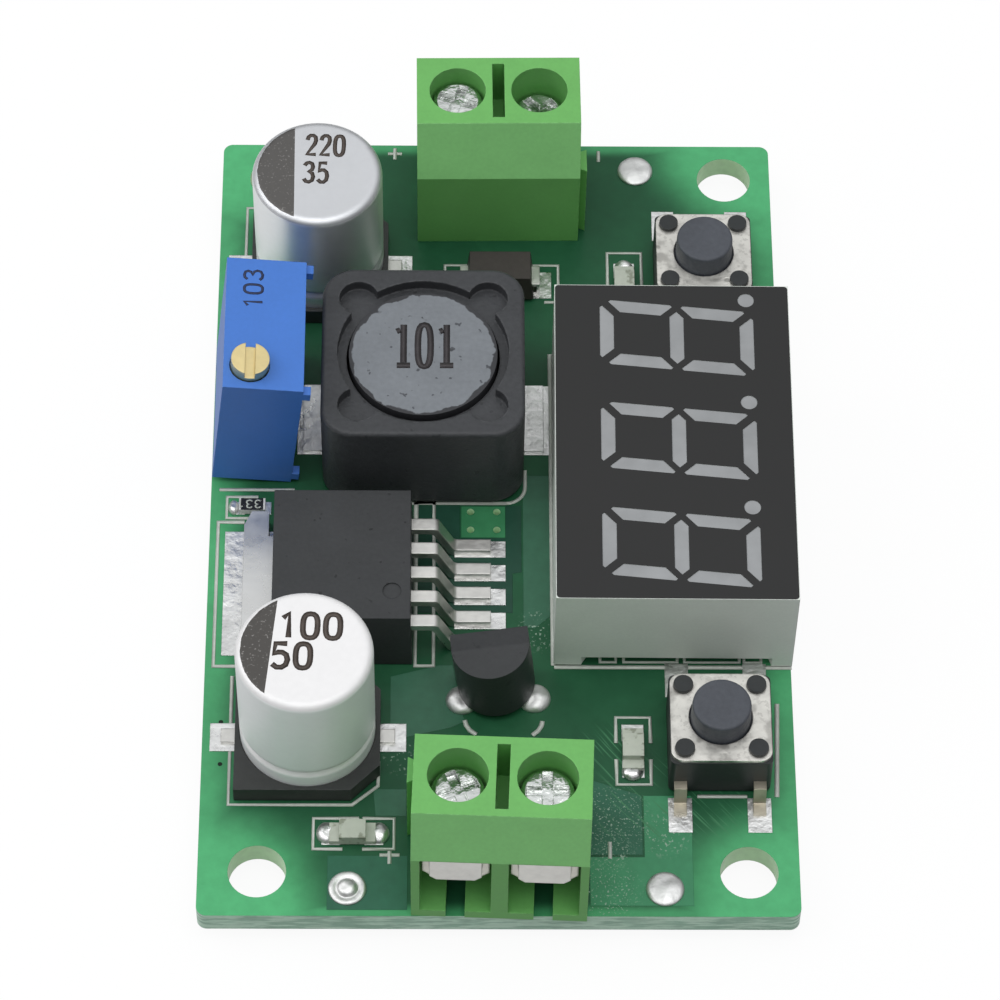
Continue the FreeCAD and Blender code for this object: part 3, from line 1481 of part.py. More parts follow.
def meter_chip():
    made = body("meter_chip_body")
    plan = sketch(made, "XY_Plane", "solder_film + meter_chip_stand")
    rectangle(plan, "0", "0", "meter_chip_width", "meter_chip_length")
    pad(made, plan, "meter_chip_height")
    feet = sketch(made, "XY_Plane", "solder_film")
    first = "-(meter_lead_count - 1) / 2 * meter_lead_pitch"
    rectangle(feet, "0", first, "meter_chip_width + 2 * meter_lead_reach", "meter_lead_width")
    row = pad(made, feet, "meter_lead_thickness")
    repeated(made, [row], "Y_Axis", "meter_lead_count", "meter_lead_pitch")
    return place(made, *METER_PLACE)


node(meter_chip(), "meter_chip")


# Solder on the component side: a thin film under every surface-mounted lead

def film(name, places, x, y, turn="0"):
    slabs = [box(f"{name}_{count}", width, depth, "solder_film", across, along, "0")
             for count, (across, along, width, depth) in enumerate(places)]
    return place(joined(name, slabs), x, y, "board_thickness", turn)


def pair(offset, width, depth):
    return [(f"-({offset})", "0", width, depth), (offset, "0", width, depth)]


def surface_solder():
    films = []
    for end, where in CAPACITORS.items():
        pads = pair("capacitor_lead_reach - capacitor_pad_inset", "capacitor_pad_length",
                    "capacitor_pad_width")
        films.append(film(f"{end}_capacitor_film", pads, *where))
    inductor = pair("inductor_size / 2 + inductor_pad_reach / 2", "inductor_pad_reach", "inductor_pad_width")
    inductor += pair("(inductor_size / 2 + inductor_terminal_root) / 2",
                     "inductor_size / 2 - inductor_terminal_root", "inductor_terminal_width")
    films.append(film("inductor_film", inductor, *INDUCTOR_PLACE))
    leads = [("lead_toe + regulator_pad_overrun - regulator_pad_length / 2",
              f"{FIRST_LEAD} + {count} * lead_pitch",
              "regulator_pad_length", "regulator_pad_width") for count in range(int(value("lead_count")))]
    slug = ("-(regulator_length + tab_reach + slug_pad_overrun) + slug_pad_length / 2", "0",
            "slug_pad_length", "slug_pad_breadth")
    films.append(film("regulator_film", leads + [slug], *REGULATOR_PLACE))
    for end, where in SWITCHES.items():
        feet = [(f"{x}switch_lead_spacing / 2", f"{y}(switch_size / 2 + switch_pad_from_base)",
                 "switch_pad_width", "switch_pad_length") for x in ("-", "") for y in ("-", "")]
        films.append(film(f"{end}_switch_film", feet, *where))
    films.append(film("diode_film", pair("diode_pad_offset", "diode_pad_length", "diode_pad_width"),
                      *DIODE_PLACE))
    for key, (x, y, turn) in INDICATORS.items():
        pads = pair("led_length / 2 - led_pad_inset", "led_pad_length", "led_pad_width")
        films.append(film(f"{key}_indicator_film", pads, x, y, turn))
    for key, (x, y, turn) in RESISTORS.items():
        pads = pair("resistor_length / 2", "resistor_pad_length", "resistor_pad_width")
        films.append(film(f"{key}_resistor_film", pads, x, y, turn))
    films.append(film("meter_film", pair("(meter_chip_width + meter_lead_reach) / 2", "meter_lead_reach",
                                         "meter_chip_length - 2 * meter_pad_margin"), *METER_PLACE))
    return joined("surface_solder_group", films)


node(surface_solder(), "surface_solder")


# Round wire pads filled with solder, two at each end

def wire_pad(name):
    made = body(name)
    half = sketch(made, "XZ_Plane")
    rim, dome = "wire_pad_diameter / 2", "wire_dome_diameter / 2"
    outline(half, [
        ("0", "0"), (rim, "0"), (f"{rim} - wire_pad_height / 2", "wire_pad_height"),
        (dome, "wire_pad_height"), (f"{dome} - wire_dome_height / 2", "wire_dome_height"),
        ("0", "wire_dome_height"),
    ])
    turned(made, half)
    return made


WIRE_PADS = {
    "input_plus": ("input_plus_across", f"{FRONT} + input_pad_share * {INPUT_STRIP}"),
    "input_minus": ("input_minus_across", f"{FRONT} + input_pad_share * {INPUT_STRIP}"),
    "output_plus": ("output_plus_across", f"{BACK} - output_pad_share * {OUTPUT_STRIP}"),
    "output_minus": ("output_minus_across", f"{BACK} - output_pad_share * {OUTPUT_STRIP}"),
}
node(joined("wire_pad_group", [place(wire_pad(f"{key}_wire_pad"), *at) for key, at in WIRE_PADS.items()]),
     "wire_pads")


# Solder cones round the pins on the underside

def solder_joints():
    pins = [thing for thing in NODES if thing.Label in (
        "input_terminal_contacts", "output_terminal_contacts", "reference_leads", "trimmer_pins",
        "display_pins")]
    return cut("solder_joints_cut", joined("solder_cone_group", CONES), joined("solder_pins_group", pins))


node(solder_joints(), "solder_joints")


# Circuit board: a blank with four mounting holes and plated vias, drilled for every pin

def circuit_board():
    made = body("circuit_board_blank")
    plan = sketch(made, "XY_Plane")
    rectangle(plan, "board_shift_across", "board_shift_along", "board_width", "board_length")
    pad(made, plan, "board_thickness")
    fillet(made, upright, "board_corner_radius")
    holes = sketch(made, "XY_Plane", "board_thickness")
    for x in ("-hole_spacing_across / 2", "hole_spacing_across / 2"):
        for y in ("-hole_spacing_along / 2", "hole_spacing_along / 2"):
            circle(holes, x, y, "hole_diameter")
    pocket(made, holes, "board_thickness")
    vias = sketch(made, "XY_Plane", "board_thickness")
    for x in ("- via_spacing_across / 2", "+ via_spacing_across / 2"):
        for y in ("- via_spacing_along / 2", "+ via_spacing_along / 2"):
            circle(vias, f"board_shift_across + via_group_across {x}",
                   f"board_shift_along + via_group_along {y}", "via_diameter")
    pocket(made, vias, "board_thickness")
    return cut("circuit_board_cut", made, joined("drill_group", DRILLS))


node(circuit_board(), "circuit_board")


# Every object has to build, and every piece has to be a sound solid, before anything is written

doc.recompute()
failed = [thing.Name for thing in doc.Objects if "Invalid" in thing.State or "Error" in thing.State]
if failed:
    raise RuntimeError(f"objects that did not build: {failed}")
for thing in NODES:
    if thing.Shape.isNull() or not thing.Shape.isValid():
        raise RuntimeError(f"unsound piece: {thing.Label}")

os.makedirs("parts", exist_ok=True)
for thing in NODES:
    thing.Shape.exportStep(f"parts/{thing.Label}.step")
    print(thing.Label, round(thing.Shape.Volume, 3), len(thing.Shape.Solids))
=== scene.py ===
import math

import bmesh
import bpy
from mathutils import Matrix, Vector, noise


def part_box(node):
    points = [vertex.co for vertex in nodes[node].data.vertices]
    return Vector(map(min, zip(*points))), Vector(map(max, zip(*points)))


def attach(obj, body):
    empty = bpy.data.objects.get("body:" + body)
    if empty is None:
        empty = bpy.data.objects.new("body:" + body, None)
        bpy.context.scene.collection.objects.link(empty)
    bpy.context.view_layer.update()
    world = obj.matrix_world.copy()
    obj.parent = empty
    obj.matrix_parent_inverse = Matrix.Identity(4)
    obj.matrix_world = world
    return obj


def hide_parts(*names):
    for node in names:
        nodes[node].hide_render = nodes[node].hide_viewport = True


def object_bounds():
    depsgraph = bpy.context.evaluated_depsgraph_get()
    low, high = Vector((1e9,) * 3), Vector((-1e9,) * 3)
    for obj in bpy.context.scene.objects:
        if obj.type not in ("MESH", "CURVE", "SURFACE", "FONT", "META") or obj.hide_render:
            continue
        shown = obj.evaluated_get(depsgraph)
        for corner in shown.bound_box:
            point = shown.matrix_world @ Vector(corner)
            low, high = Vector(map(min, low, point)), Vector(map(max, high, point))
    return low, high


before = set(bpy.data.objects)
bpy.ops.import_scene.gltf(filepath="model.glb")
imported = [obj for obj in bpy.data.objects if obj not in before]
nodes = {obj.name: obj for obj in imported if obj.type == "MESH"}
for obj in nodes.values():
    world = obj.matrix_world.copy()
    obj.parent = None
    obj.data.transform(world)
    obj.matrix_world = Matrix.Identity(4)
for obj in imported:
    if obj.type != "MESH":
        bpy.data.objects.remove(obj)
cad_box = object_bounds()

# Circuit board: 35 x 56 mm glass-epoxy laminate, 1.6 mm thick, with a glossy green mask over its copper.
# It has no copper along its sides and round its holes, so light comes through there and the green is paler.
# Every layer on it is placed from the board's own centre, in millimetres.

MM = 0.001
BOARD_CENTRE = (-0.26, -0.10)
BOARD_TOP = 1.6
BOARD_HALF_WIDTH = 17.5
BOARD_HALF_LENGTH = 28.0
COPPER_GREEN = (0.012, 0.078, 0.034)
CLEAR_GREEN = (0.085, 0.420, 0.175)
LAMINATE = (0.62, 0.85, 0.68)
HOLE_WALL = (0.66, 0.90, 0.60)
ROUND_EDGE = 0.05


def on_board(x, y, up=0.0):
    return Vector(((x + BOARD_CENTRE[0]) * MM, (y + BOARD_CENTRE[1]) * MM, (BOARD_TOP + up) * MM))


def new_material(name):
    made = bpy.data.materials.new(name)
    made.use_nodes = True
    made.node_tree.nodes.clear()
    output = made.node_tree.nodes.new("ShaderNodeOutputMaterial")
    shader = made.node_tree.nodes.new("ShaderNodeBsdfPrincipled")
    made.node_tree.links.new(shader.outputs["BSDF"], output.inputs["Surface"])
    return made, made.node_tree, shader


def position(tree):
    return tree.nodes.new("ShaderNodeTexCoord").outputs["Object"]


def plugged(tree, socket, given):
    if isinstance(given, (int, float)):
        socket.default_value = given
    elif isinstance(given, tuple):
        socket.default_value = (*given, 1.0)
    elif given is not None:
        tree.links.new(given, socket)


def math_node(tree, operation, first, second=None):
    made = tree.nodes.new("ShaderNodeMath")
    made.operation = operation
    for socket, given in zip(made.inputs, (first, second)):
        plugged(tree, socket, given)
    return made.outputs[0]


def smooth_step(tree, given, low, high):
    made = tree.nodes.new("ShaderNodeMapRange")
    made.interpolation_type = "SMOOTHSTEP"
    plugged(tree, made.inputs["Value"], given)
    made.inputs["From Min"].default_value = low
    made.inputs["From Max"].default_value = high
    return made.outputs["Result"]


def mix_colour(tree, factor, first, second):
    made = tree.nodes.new("ShaderNodeMix")
    made.data_type = "RGBA"
    tree.links.new(factor, made.inputs["Factor"])
    plugged(tree, made.inputs["A"], first)
    plugged(tree, made.inputs["B"], second)
    return made.outputs["Result"]


def axis_of(tree, name, vector=None):
    made = tree.nodes.new("ShaderNodeSeparateXYZ")
    tree.links.new(vector or position(tree), made.inputs["Vector"])
    return made.outputs[name]


def offset_from(tree, axis, level):
    return math_node(tree, "SUBTRACT", axis_of(tree, axis), level)


def length_of(tree, first, second):
    squares = [math_node(tree, "MULTIPLY", given, given) for given in (first, second)]
    return math_node(tree, "SQRT", math_node(tree, "ADD", *squares))


def upwardness(tree):
    return axis_of(tree, "Z", tree.nodes.new("ShaderNodeNewGeometry").outputs["Normal"])


LEVEL_ENOUGH = 0.5


def faces_up(tree, least=LEVEL_ENOUGH):
    return math_node(tree, "GREATER_THAN", upwardness(tree), least)


def noise_of(tree, vector, scale, detail):
    made = tree.nodes.new("ShaderNodeTexNoise")
    tree.links.new(vector, made.inputs["Vector"])
    plugged(tree, made.inputs["Scale"], scale)
    made.inputs["Detail"].default_value = detail
    return made.outputs["Fac"]


def group_with(name, inputs, outputs):
    group = bpy.data.node_groups.new(name, "ShaderNodeTree")
    for label, kind, start in inputs:
        socket = group.interface.new_socket(label, in_out="INPUT", socket_type=kind)
        if start is not None:
            socket.default_value = start
    for label, kind in outputs:
        group.interface.new_socket(label, in_out="OUTPUT", socket_type=kind)
    return group, group.nodes.new("NodeGroupInput").outputs, group.nodes.new("NodeGroupOutput").inputs


NUMBER, COLOUR, VECTOR = "NodeSocketFloat", "NodeSocketColor", "NodeSocketVector"
BROAD_SHARE = 0.12
PIT_SHARE = 0.55
PIT_STEP = (0.70, 0.76)


def grain_group():
    group, given, made = group_with(
        "moulded_grain",
        [("Vector", VECTOR, None), ("Base", COLOUR, None), ("Size", NUMBER, 3000.0),
         ("Mottle", NUMBER, 0.1), ("Rough", NUMBER, 0.5), ("Rough Change", NUMBER, 0.1),
         ("Pits", NUMBER, 0.0)],
        [("Color", COLOUR), ("Roughness", NUMBER), ("Height", NUMBER)])
    fine = noise_of(group, given["Vector"], given["Size"], 4.0)
    broad = noise_of(group, given["Vector"], math_node(group, "MULTIPLY", given["Size"], BROAD_SHARE), 3.0)
    centred = math_node(group, "SUBTRACT", math_node(group, "ADD", fine, broad), 1.0)
    shade = math_node(group, "ADD", math_node(group, "MULTIPLY", centred, given["Mottle"]), 1.0)
    spots = noise_of(group, given["Vector"], math_node(group, "MULTIPLY", given["Size"], PIT_SHARE), 1.0)
    pits = math_node(group, "MULTIPLY", smooth_step(group, spots, *PIT_STEP), given["Pits"])
    pitted = math_node(group, "SUBTRACT", shade, pits)
    scaled = group.nodes.new("ShaderNodeVectorMath")
    scaled.operation = "SCALE"
    group.links.new(given["Base"], scaled.inputs[0])
    group.links.new(pitted, scaled.inputs["Scale"])
    group.links.new(scaled.outputs["Vector"], made["Color"])
    change = math_node(group, "MULTIPLY", centred, given["Rough Change"])
    group.links.new(math_node(group, "ADD", given["Rough"], change), made["Roughness"])
    group.links.new(math_node(group, "SUBTRACT", fine, pits), made["Height"])
    return group


EDGE_BEND = (0.995, 0.86)
EDGE_CHANCE = (0.34, 0.62)
EDGE_GRAIN = 2200.0
EDGE_GAIN = 1.5
EDGE_WHITE = 0.09
EDGE_SAMPLES = 4


# Rounded edges: the bevel gives their shading, and patches along them are painted paler as a painted
# highlight.
def edge_group():
    group, given, made = group_with(
        "worn_edge",
        [("Vector", VECTOR, None), ("Base", COLOUR, None), ("Radius", NUMBER, ROUND_EDGE * MM),
         ("Highlight", NUMBER, 0.0)],
        [("Color", COLOUR), ("Normal", VECTOR)])
    rounded = group.nodes.new("ShaderNodeBevel")
    rounded.samples = EDGE_SAMPLES
    group.links.new(given["Radius"], rounded.inputs["Radius"])
    group.links.new(rounded.outputs["Normal"], made["Normal"])
    turned = group.nodes.new("ShaderNodeVectorMath")
    turned.operation = "DOT_PRODUCT"
    group.links.new(rounded.outputs["Normal"], turned.inputs[0])
    group.links.new(group.nodes.new("ShaderNodeNewGeometry").outputs["Normal"], turned.inputs[1])
    bend = smooth_step(group, turned.outputs["Value"], *EDGE_BEND)
    chance = smooth_step(group, noise_of(group, given["Vector"], EDGE_GRAIN, 4.0), *EDGE_CHANCE)
    highlighted = math_node(group, "MULTIPLY", math_node(group, "MULTIPLY", bend, chance), given["Highlight"])
    paler = group.nodes.new("ShaderNodeVectorMath")
    paler.operation = "MULTIPLY_ADD"
    group.links.new(given["Base"], paler.inputs[0])
    paler.inputs[1].default_value = (EDGE_GAIN, EDGE_GAIN, EDGE_GAIN)
    paler.inputs[2].default_value = (EDGE_WHITE, EDGE_WHITE, EDGE_WHITE)
    group.links.new(mix_colour(group, highlighted, given["Base"], paler.outputs["Vector"]), made["Color"])
    return group


MOULDED_GRAIN = grain_group()
EDGE_PAINTED_HIGHLIGHT = edge_group()


def grained(name, colour, rough, size=3000.0, mottle=0.1, rough_change=0.1, bump=0.1, depth=0.01,
            pits=0.0, metallic=0.0, specular=0.35, base=None, edge=ROUND_EDGE, edge_highlight=0.0):
    made, tree, shader = new_material(name)
    grain = tree.nodes.new("ShaderNodeGroup")
    grain.node_tree = MOULDED_GRAIN
    tree.links.new(position(tree), grain.inputs["Vector"])
    plugged(tree, grain.inputs["Base"], colour if base is None else base(tree))
    for label, value in (("Size", size), ("Mottle", mottle), ("Rough", rough),
                         ("Rough Change", rough_change), ("Pits", pits)):
        grain.inputs[label].default_value = value
    rounded = tree.nodes.new("ShaderNodeGroup")
    rounded.node_tree = EDGE_PAINTED_HIGHLIGHT
    tree.links.new(position(tree), rounded.inputs["Vector"])
    tree.links.new(grain.outputs["Color"], rounded.inputs["Base"])
    rounded.inputs["Radius"].default_value = edge * MM
    # Share of the painted highlight in patches along the rounded edges.
    rounded.inputs["Highlight"].default_value = edge_highlight
    tree.links.new(rounded.outputs["Color"], shader.inputs["Base Color"])
    tree.links.new(grain.outputs["Roughness"], shader.inputs["Roughness"])
    bumped = tree.nodes.new("ShaderNodeBump")
    bumped.inputs["Strength"].default_value = bump
    bumped.inputs["Distance"].default_value = depth * MM
    tree.links.new(grain.outputs["Height"], bumped.inputs["Height"])
    tree.links.new(rounded.outputs["Normal"], bumped.inputs["Normal"])
    tree.links.new(bumped.outputs["Normal"], shader.inputs["Normal"])
    shader.inputs["Metallic"].default_value = metallic
    shader.inputs["Specular IOR Level"].default_value = specular
    return made


def dress(made, *names):
    for name in names:
        slots = nodes[name].data.materials
        if len(slots) == 0:
            slots.append(made)
        for index in range(len(slots)):
            slots[index] = made


PATCH_FADE = (1.0, 0.35)
PATCH_SOFTNESS = 0.07


def patch_group():
    group, given, made = group_with(
        "worn_patch",
        [("Vector", VECTOR, None), ("Place", VECTOR, None), ("Reach", NUMBER, 0.002),
         ("Size", NUMBER, 2500.0), ("Low", NUMBER, 0.56)],
        [("Mask", NUMBER)])
    apart = group.nodes.new("ShaderNodeVectorMath")
    apart.operation = "DISTANCE"
    group.links.new(given["Vector"], apart.inputs[0])
    group.links.new(given["Place"], apart.inputs[1])
    far = math_node(group, "DIVIDE", apart.outputs["Value"], given["Reach"])
    near = smooth_step(group, far, *PATCH_FADE)
    spots = noise_of(group, given["Vector"], given["Size"], 5.0)
    above = math_node(group, "SUBTRACT", spots, given["Low"])
    spotted = smooth_step(group, above, 0.0, PATCH_SOFTNESS)
    group.links.new(math_node(group, "MULTIPLY", near, spotted), made["Mask"])
    return group


WORN_PATCH = patch_group()


def worn(tree, vector, place, reach, size, low):
    made = tree.nodes.new("ShaderNodeGroup")
    made.node_tree = WORN_PATCH
    tree.links.new(vector, made.inputs["Vector"])
    made.inputs["Place"].default_value = on_board(*place)
    for label, value in (("Reach", reach * MM), ("Size", size), ("Low", low)):
        made.inputs[label].default_value = value
    return made.outputs["Mask"]


STREAK_STRETCH = 30.0
STREAK_SIZE = 8500.0


def streaks(tree, angle):
    made = tree.nodes.new("ShaderNodeMapping")
    made.vector_type = "TEXTURE"
    made.inputs["Rotation"].default_value = (0.0, 0.0, math.radians(angle))
    made.inputs["Scale"].default_value = (1.0, STREAK_STRETCH, 1.0)
    tree.links.new(position(tree), made.inputs["Vector"])
    return noise_of(tree, made.outputs["Vector"], STREAK_SIZE, 1.0)


FLUX_SPOTS = [((6.6, -21.6), 2.9, 7500.0), ((6.2, -26.3), 2.6, 7500.0), ((2.6, -8.6), 1.8, 6000.0),
              ((6.6, -23.6), 1.6, 9000.0), ((9.7, -22.6), 1.8, 5200.0), ((-5.6, -17.4), 1.5, 4200.0)]
SCRATCHES = [((9.0, -20.6), 4.4, 42.0), ((12.4, -20.4), 3.0, 42.0), ((6.6, -17.5), 2.8, 38.0)]
FLUX_LEVEL = 0.585
FLUX_WHITE = (0.30, 0.42, 0.33)
SCRATCH_STEP = (0.60, 0.72)
SCRATCH_SIZE = 300.0
SCRATCH_LEVEL = 0.25
SCRATCH_GREEN = (0.055, 0.20, 0.095)
VIA_SQUARE = ((-0.87, -0.88), (1.33, 1.12))
SMALL_VIAS = [(-16.42, -15.06), (-16.39, -17.93)]
SMALL_VIA_RADIUS = 0.14


def masked_green(tree, plain):
    colour = plain
    upper = faces_up(tree)
    for place, reach, size in FLUX_SPOTS:
        patch = worn(tree, position(tree), place, reach, size, FLUX_LEVEL)
        colour = mix_colour(tree, math_node(tree, "MULTIPLY", patch, upper), colour, FLUX_WHITE)
    for place, reach, angle in SCRATCHES:
        lines = math_node(tree, "MULTIPLY", smooth_step(tree, streaks(tree, angle), *SCRATCH_STEP), upper)
        patch = worn(tree, position(tree), place, reach, SCRATCH_SIZE, SCRATCH_LEVEL)
        colour = mix_colour(tree, math_node(tree, "MULTIPLY", lines, patch), colour, SCRATCH_GREEN)
    return colour


def within(tree, place, half):
    centre = on_board(*place)
    inside = [math_node(tree, "LESS_THAN", math_node(tree, "ABSOLUTE", offset_from(tree, axis, middle)),
                        reach * MM) for axis, middle, reach in zip("XY", centre, half)]
    return math_node(tree, "MULTIPLY", *inside)


BARE_SIDE = (3.4, 0.2)
BARE_SIDE_SHARE = 0.7
BARE_CORNER = (9.5, 3.5)
BARE_END = (1.1, 0.2)
BARE_END_SHARE = 0.6
BARE_SQUARE_SHARE = 0.35
WANDER_SIZE = 260.0
WANDER_SHARE = 0.30
CLEAR_STEP = (0.05, 1.15)
VIA_HOLE_SHADE = (0.004, 0.014, 0.008)
SAWN_DEPTH = 0.6
GLASS_SIZE = 5200.0
GLASS_STRETCH = 0.12
GLASS_STEP = (0.40, 0.62)
GLASS_GREEN = (0.36, 0.58, 0.44)


def step_in_mm(tree, distance, limits):
    return smooth_step(tree, distance, limits[0] * MM, limits[1] * MM)


def board_colour(tree):
    centre = on_board(0.0, 0.0)
    from_side = math_node(tree, "SUBTRACT", BOARD_HALF_WIDTH * MM,
                          math_node(tree, "ABSOLUTE", offset_from(tree, "X", centre.x)))
    from_end = math_node(tree, "SUBTRACT", BOARD_HALF_LENGTH * MM,
                         math_node(tree, "ABSOLUTE", offset_from(tree, "Y", centre.y)))
    side = math_node(tree, "MULTIPLY", step_in_mm(tree, from_side, BARE_SIDE), BARE_SIDE_SHARE)
    corner = step_in_mm(tree, length_of(tree, from_side, from_end), BARE_CORNER)
    end = math_node(tree, "MULTIPLY", step_in_mm(tree, from_end, BARE_END), BARE_END_SHARE)
    square = math_node(tree, "MULTIPLY", within(tree, *VIA_SQUARE), BARE_SQUARE_SHARE)
    bare = math_node(tree, "MAXIMUM", math_node(tree, "MAXIMUM", side, corner),
                     math_node(tree, "MAXIMUM", end, square))
    wander = math_node(tree, "MULTIPLY", noise_of(tree, position(tree), WANDER_SIZE, 2.0), WANDER_SHARE)
    clear = math_node(tree, "ADD", bare, wander)
    green = mix_colour(tree, smooth_step(tree, clear, *CLEAR_STEP), COPPER_GREEN, CLEAR_GREEN)
    # Each small via is a dark dot, painted shade standing for its open hole.
    for place in SMALL_VIAS:
        spot = on_board(*place)
        away = length_of(tree, offset_from(tree, "X", spot.x), offset_from(tree, "Y", spot.y))
        green = mix_colour(tree, math_node(tree, "LESS_THAN", away, SMALL_VIA_RADIUS * MM), green, VIA_HOLE_SHADE)
    level = math_node(tree, "ABSOLUTE", upwardness(tree))
    face = math_node(tree, "GREATER_THAN", level, LEVEL_ENOUGH)
    nearest = math_node(tree, "MINIMUM", from_side, from_end)
    inside = math_node(tree, "GREATER_THAN", nearest, SAWN_DEPTH * MM)
    layers = tree.nodes.new("ShaderNodeMapping")
    layers.inputs["Scale"].default_value = (GLASS_STRETCH, GLASS_STRETCH, 1.0)
    tree.links.new(position(tree), layers.inputs["Vector"])
    glass = smooth_step(tree, noise_of(tree, layers.outputs["Vector"], GLASS_SIZE, 3.0), *GLASS_STEP)
    edge = mix_colour(tree, glass, LAMINATE, GLASS_GREEN)
    sawn = mix_colour(tree, inside, edge, HOLE_WALL)
    return mix_colour(tree, face, sawn, masked_green(tree, green))


dress(grained("board_green_mask", None, 0.36, size=1600.0, mottle=0.30, rough_change=0.15, bump=0.3,
              specular=0.22, base=board_colour), "circuit_board")

# Copper pours under the mask: broad tracks that carry the current, a hair proud of the bare laminate.
# They are etched from the board's copper and show through the mask as darker, greyer or paler greens.


def plate_mesh(name, outlines, low, high):
    made = bmesh.new()
    for corners in outlines:
        lower, upper = ([made.verts.new(on_board(x, y, level)) for x, y in corners] for level in (low, high))
        made.faces.new(lower)
        made.faces.new(upper)
        for index in range(len(corners)):
            made.faces.new((lower[index - 1], lower[index], upper[index], upper[index - 1]))
    bmesh.ops.recalc_face_normals(made, faces=made.faces)
    data = bpy.data.meshes.new(name)
    made.to_mesh(data)
    made.free()
    return data


def add_piece(name, data, material, body="module"):
    made = bpy.data.objects.new(name, data)
    bpy.context.scene.collection.objects.link(made)
    if len(data.materials) == 0:
        data.materials.append(material)
    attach(made, body)
    return made


POUR_RISE = 0.012
POURS = {
    "dark": ((0.013, 0.062, 0.038), [
        [(-5.04, 0.3), (-2.3, 0.3), (-2.3, -2.05), (0.49, -2.05), (0.49, 0.3), (1.45, 0.3), (1.45, -4.5),
         (0.9, -4.6), (0.9, -7.4), (-5.04, -7.4)],
    ]),
    "soft": ((0.027, 0.124, 0.072), [
        [(5.3, -23.95), (8.40, -23.95), (8.40, -20.0), (5.3, -18.9)],
        [(-9.95, -24.05), (-5.3, -24.05), (-5.3, -27.6), (-9.95, -27.6)],
    ]),
    "grey": ((0.040, 0.135, 0.080), [
        [(-6.4, -11.9), (-3.5, -11.1), (-2.7, -11.1), (-2.0, -15.0), (-2.8, -15.4), (-6.4, -16.3)],
        [(-7.35, -19.6), (-5.4, -19.6), (-5.4, -21.4), (-7.2, -21.4)],
        [(1.55, 2.5), (3.2, 2.5), (3.2, -7.6), (2.2, -8.5), (1.55, -8.4)],
    ]),
    "clear": ((0.050, 0.240, 0.115), [
        [(11.3, -22.3), (11.3, -27.3), (5.3, -27.3), (5.3, -24.1), (8.5, -24.1), (8.5, -20.0),
         (11.3, -20.0)],
    ]),
}
for tone, (green, outlines) in POURS.items():
    skin = grained(f"copper_under_mask_{tone}", None, 0.34, size=1600.0, mottle=0.35, bump=0.3,
                   specular=0.25, base=lambda tree, green=green: masked_green(tree, green))
    add_piece(f"copper_pour_{tone}", plate_mesh(f"copper_pour_{tone}", outlines, 0.0, POUR_RISE), skin)

# White print: thin ink lines round each part's place, with plus and minus marks at the terminals.
# Screen-printed on the mask, about a fifth of a millimetre wide.
# Each line is a path that a node tree turns into a flat ribbon.

INK = grained("print_ink", (0.54, 0.57, 0.52), 0.6, size=2500.0, mottle=0.35, bump=0.2)
THIN_LINE = 0.23
BROAD_LINE = 0.28
PRINT_THICKNESS = 0.02
PRINT_LEVEL = 0.022


def arc_points(x, y, radius, start, end, count=8):
    angles = [math.radians(start + (end - start) * step / count) for step in range(count + 1)]
    return [(x + radius * math.cos(angle), y + radius * math.sin(angle)) for angle in angles]


def bracket(left, right, near, far):
    return [(left, near), (left, far), (right, far), (right, near)]


def plus_mark(x, y, arm, rise):
    gap = THIN_LINE / 2
    return [[(x, y - arm), (x, y + rise)], [(x - arm, y), (x - gap, y)], [(x + gap, y), (x + arm, y)]]


NOTCH_BOXES = [(6.1, 7.03), (7.51, 10.71), (11.15, 14.42), (14.71, 15.72)]
THIN_PRINT = [
    [(-9.1, -23.62), (-10.82, -23.62), (-10.82, -21.58), (-8.15, -21.58)],
    [(-7.95, -21.58), (-6.1, -21.58), (-6.1, -23.62), (-7.95, -23.62)],
    [(6.96, -16.44), (6.96, -14.68), (9.0, -14.68), (9.0, -16.44)],
    [(6.96, -17.54), (6.96, -19.26), (8.99, -19.26), (8.99, -17.54)],
    [(7.0, 15.0), (7.0, 19.46), (9.15, 19.46), (9.15, 15.0)],
    [(-14.6, 0.87), (-16.51, 0.87), (-16.51, -0.68), (-14.6, -0.68)],
    [(-17.0, 1.4), (-12.4, 1.4)],
    [(-10.6, 0.46), (0.5, 0.46)] + arc_points(0.5, 1.66, 1.2, -90, 0) + [(1.70, 2.9)],
    [(3.0, 15.6), (3.89, 15.6), (3.89, 18.46), (-3.26, 18.46), (-3.26, 15.6)],
    [(-15.84, -11.9), (-15.84, -20.68), (-8.58, -20.68), (-7.07, -19.4), (-7.07, -17.7)],
    [(-15.85, 13.4), (-15.85, 22.9), (-8.7, 22.9)],
    [(11.67, -20.04), (14.61, -20.04)],
    [(6.48, -23.09), (6.48, -24.21)],
    [(6.57, 26.73), (6.57, 27.58)],
]
THIN_PRINT += plus_mark(-6.35, -24.01, 0.58, 0.27) + plus_mark(-6.5, 27.3, 0.45, 0.45)
THIN_PRINT += [bracket(left, right, -10.1, -10.85) for left, right in NOTCH_BOXES]
BROAD_PRINT = [
    [(3.35, -11.2), (17.55, -11.2)],
    [(3.30, -11.1), (3.30, 11.6)],
    [(16.58, -13.71), (16.35, -20.07)],
    [(-15.4, -0.97), (-17.0, -0.97), (-17.0, -11.22), (-14.0, -11.22)],
    [(-4.96, 0.52), (-3.86, 0.52), (-3.86, -11.15), (-4.96, -11.15), (-4.96, 0.52)],
    [(-1.98, -14.9), (-1.90, -15.25), (-1.68, -15.6), (-1.30, -15.88)],
    [(2.62, -14.95), (2.56, -15.28), (2.36, -15.62), (2.02, -15.92)],
]


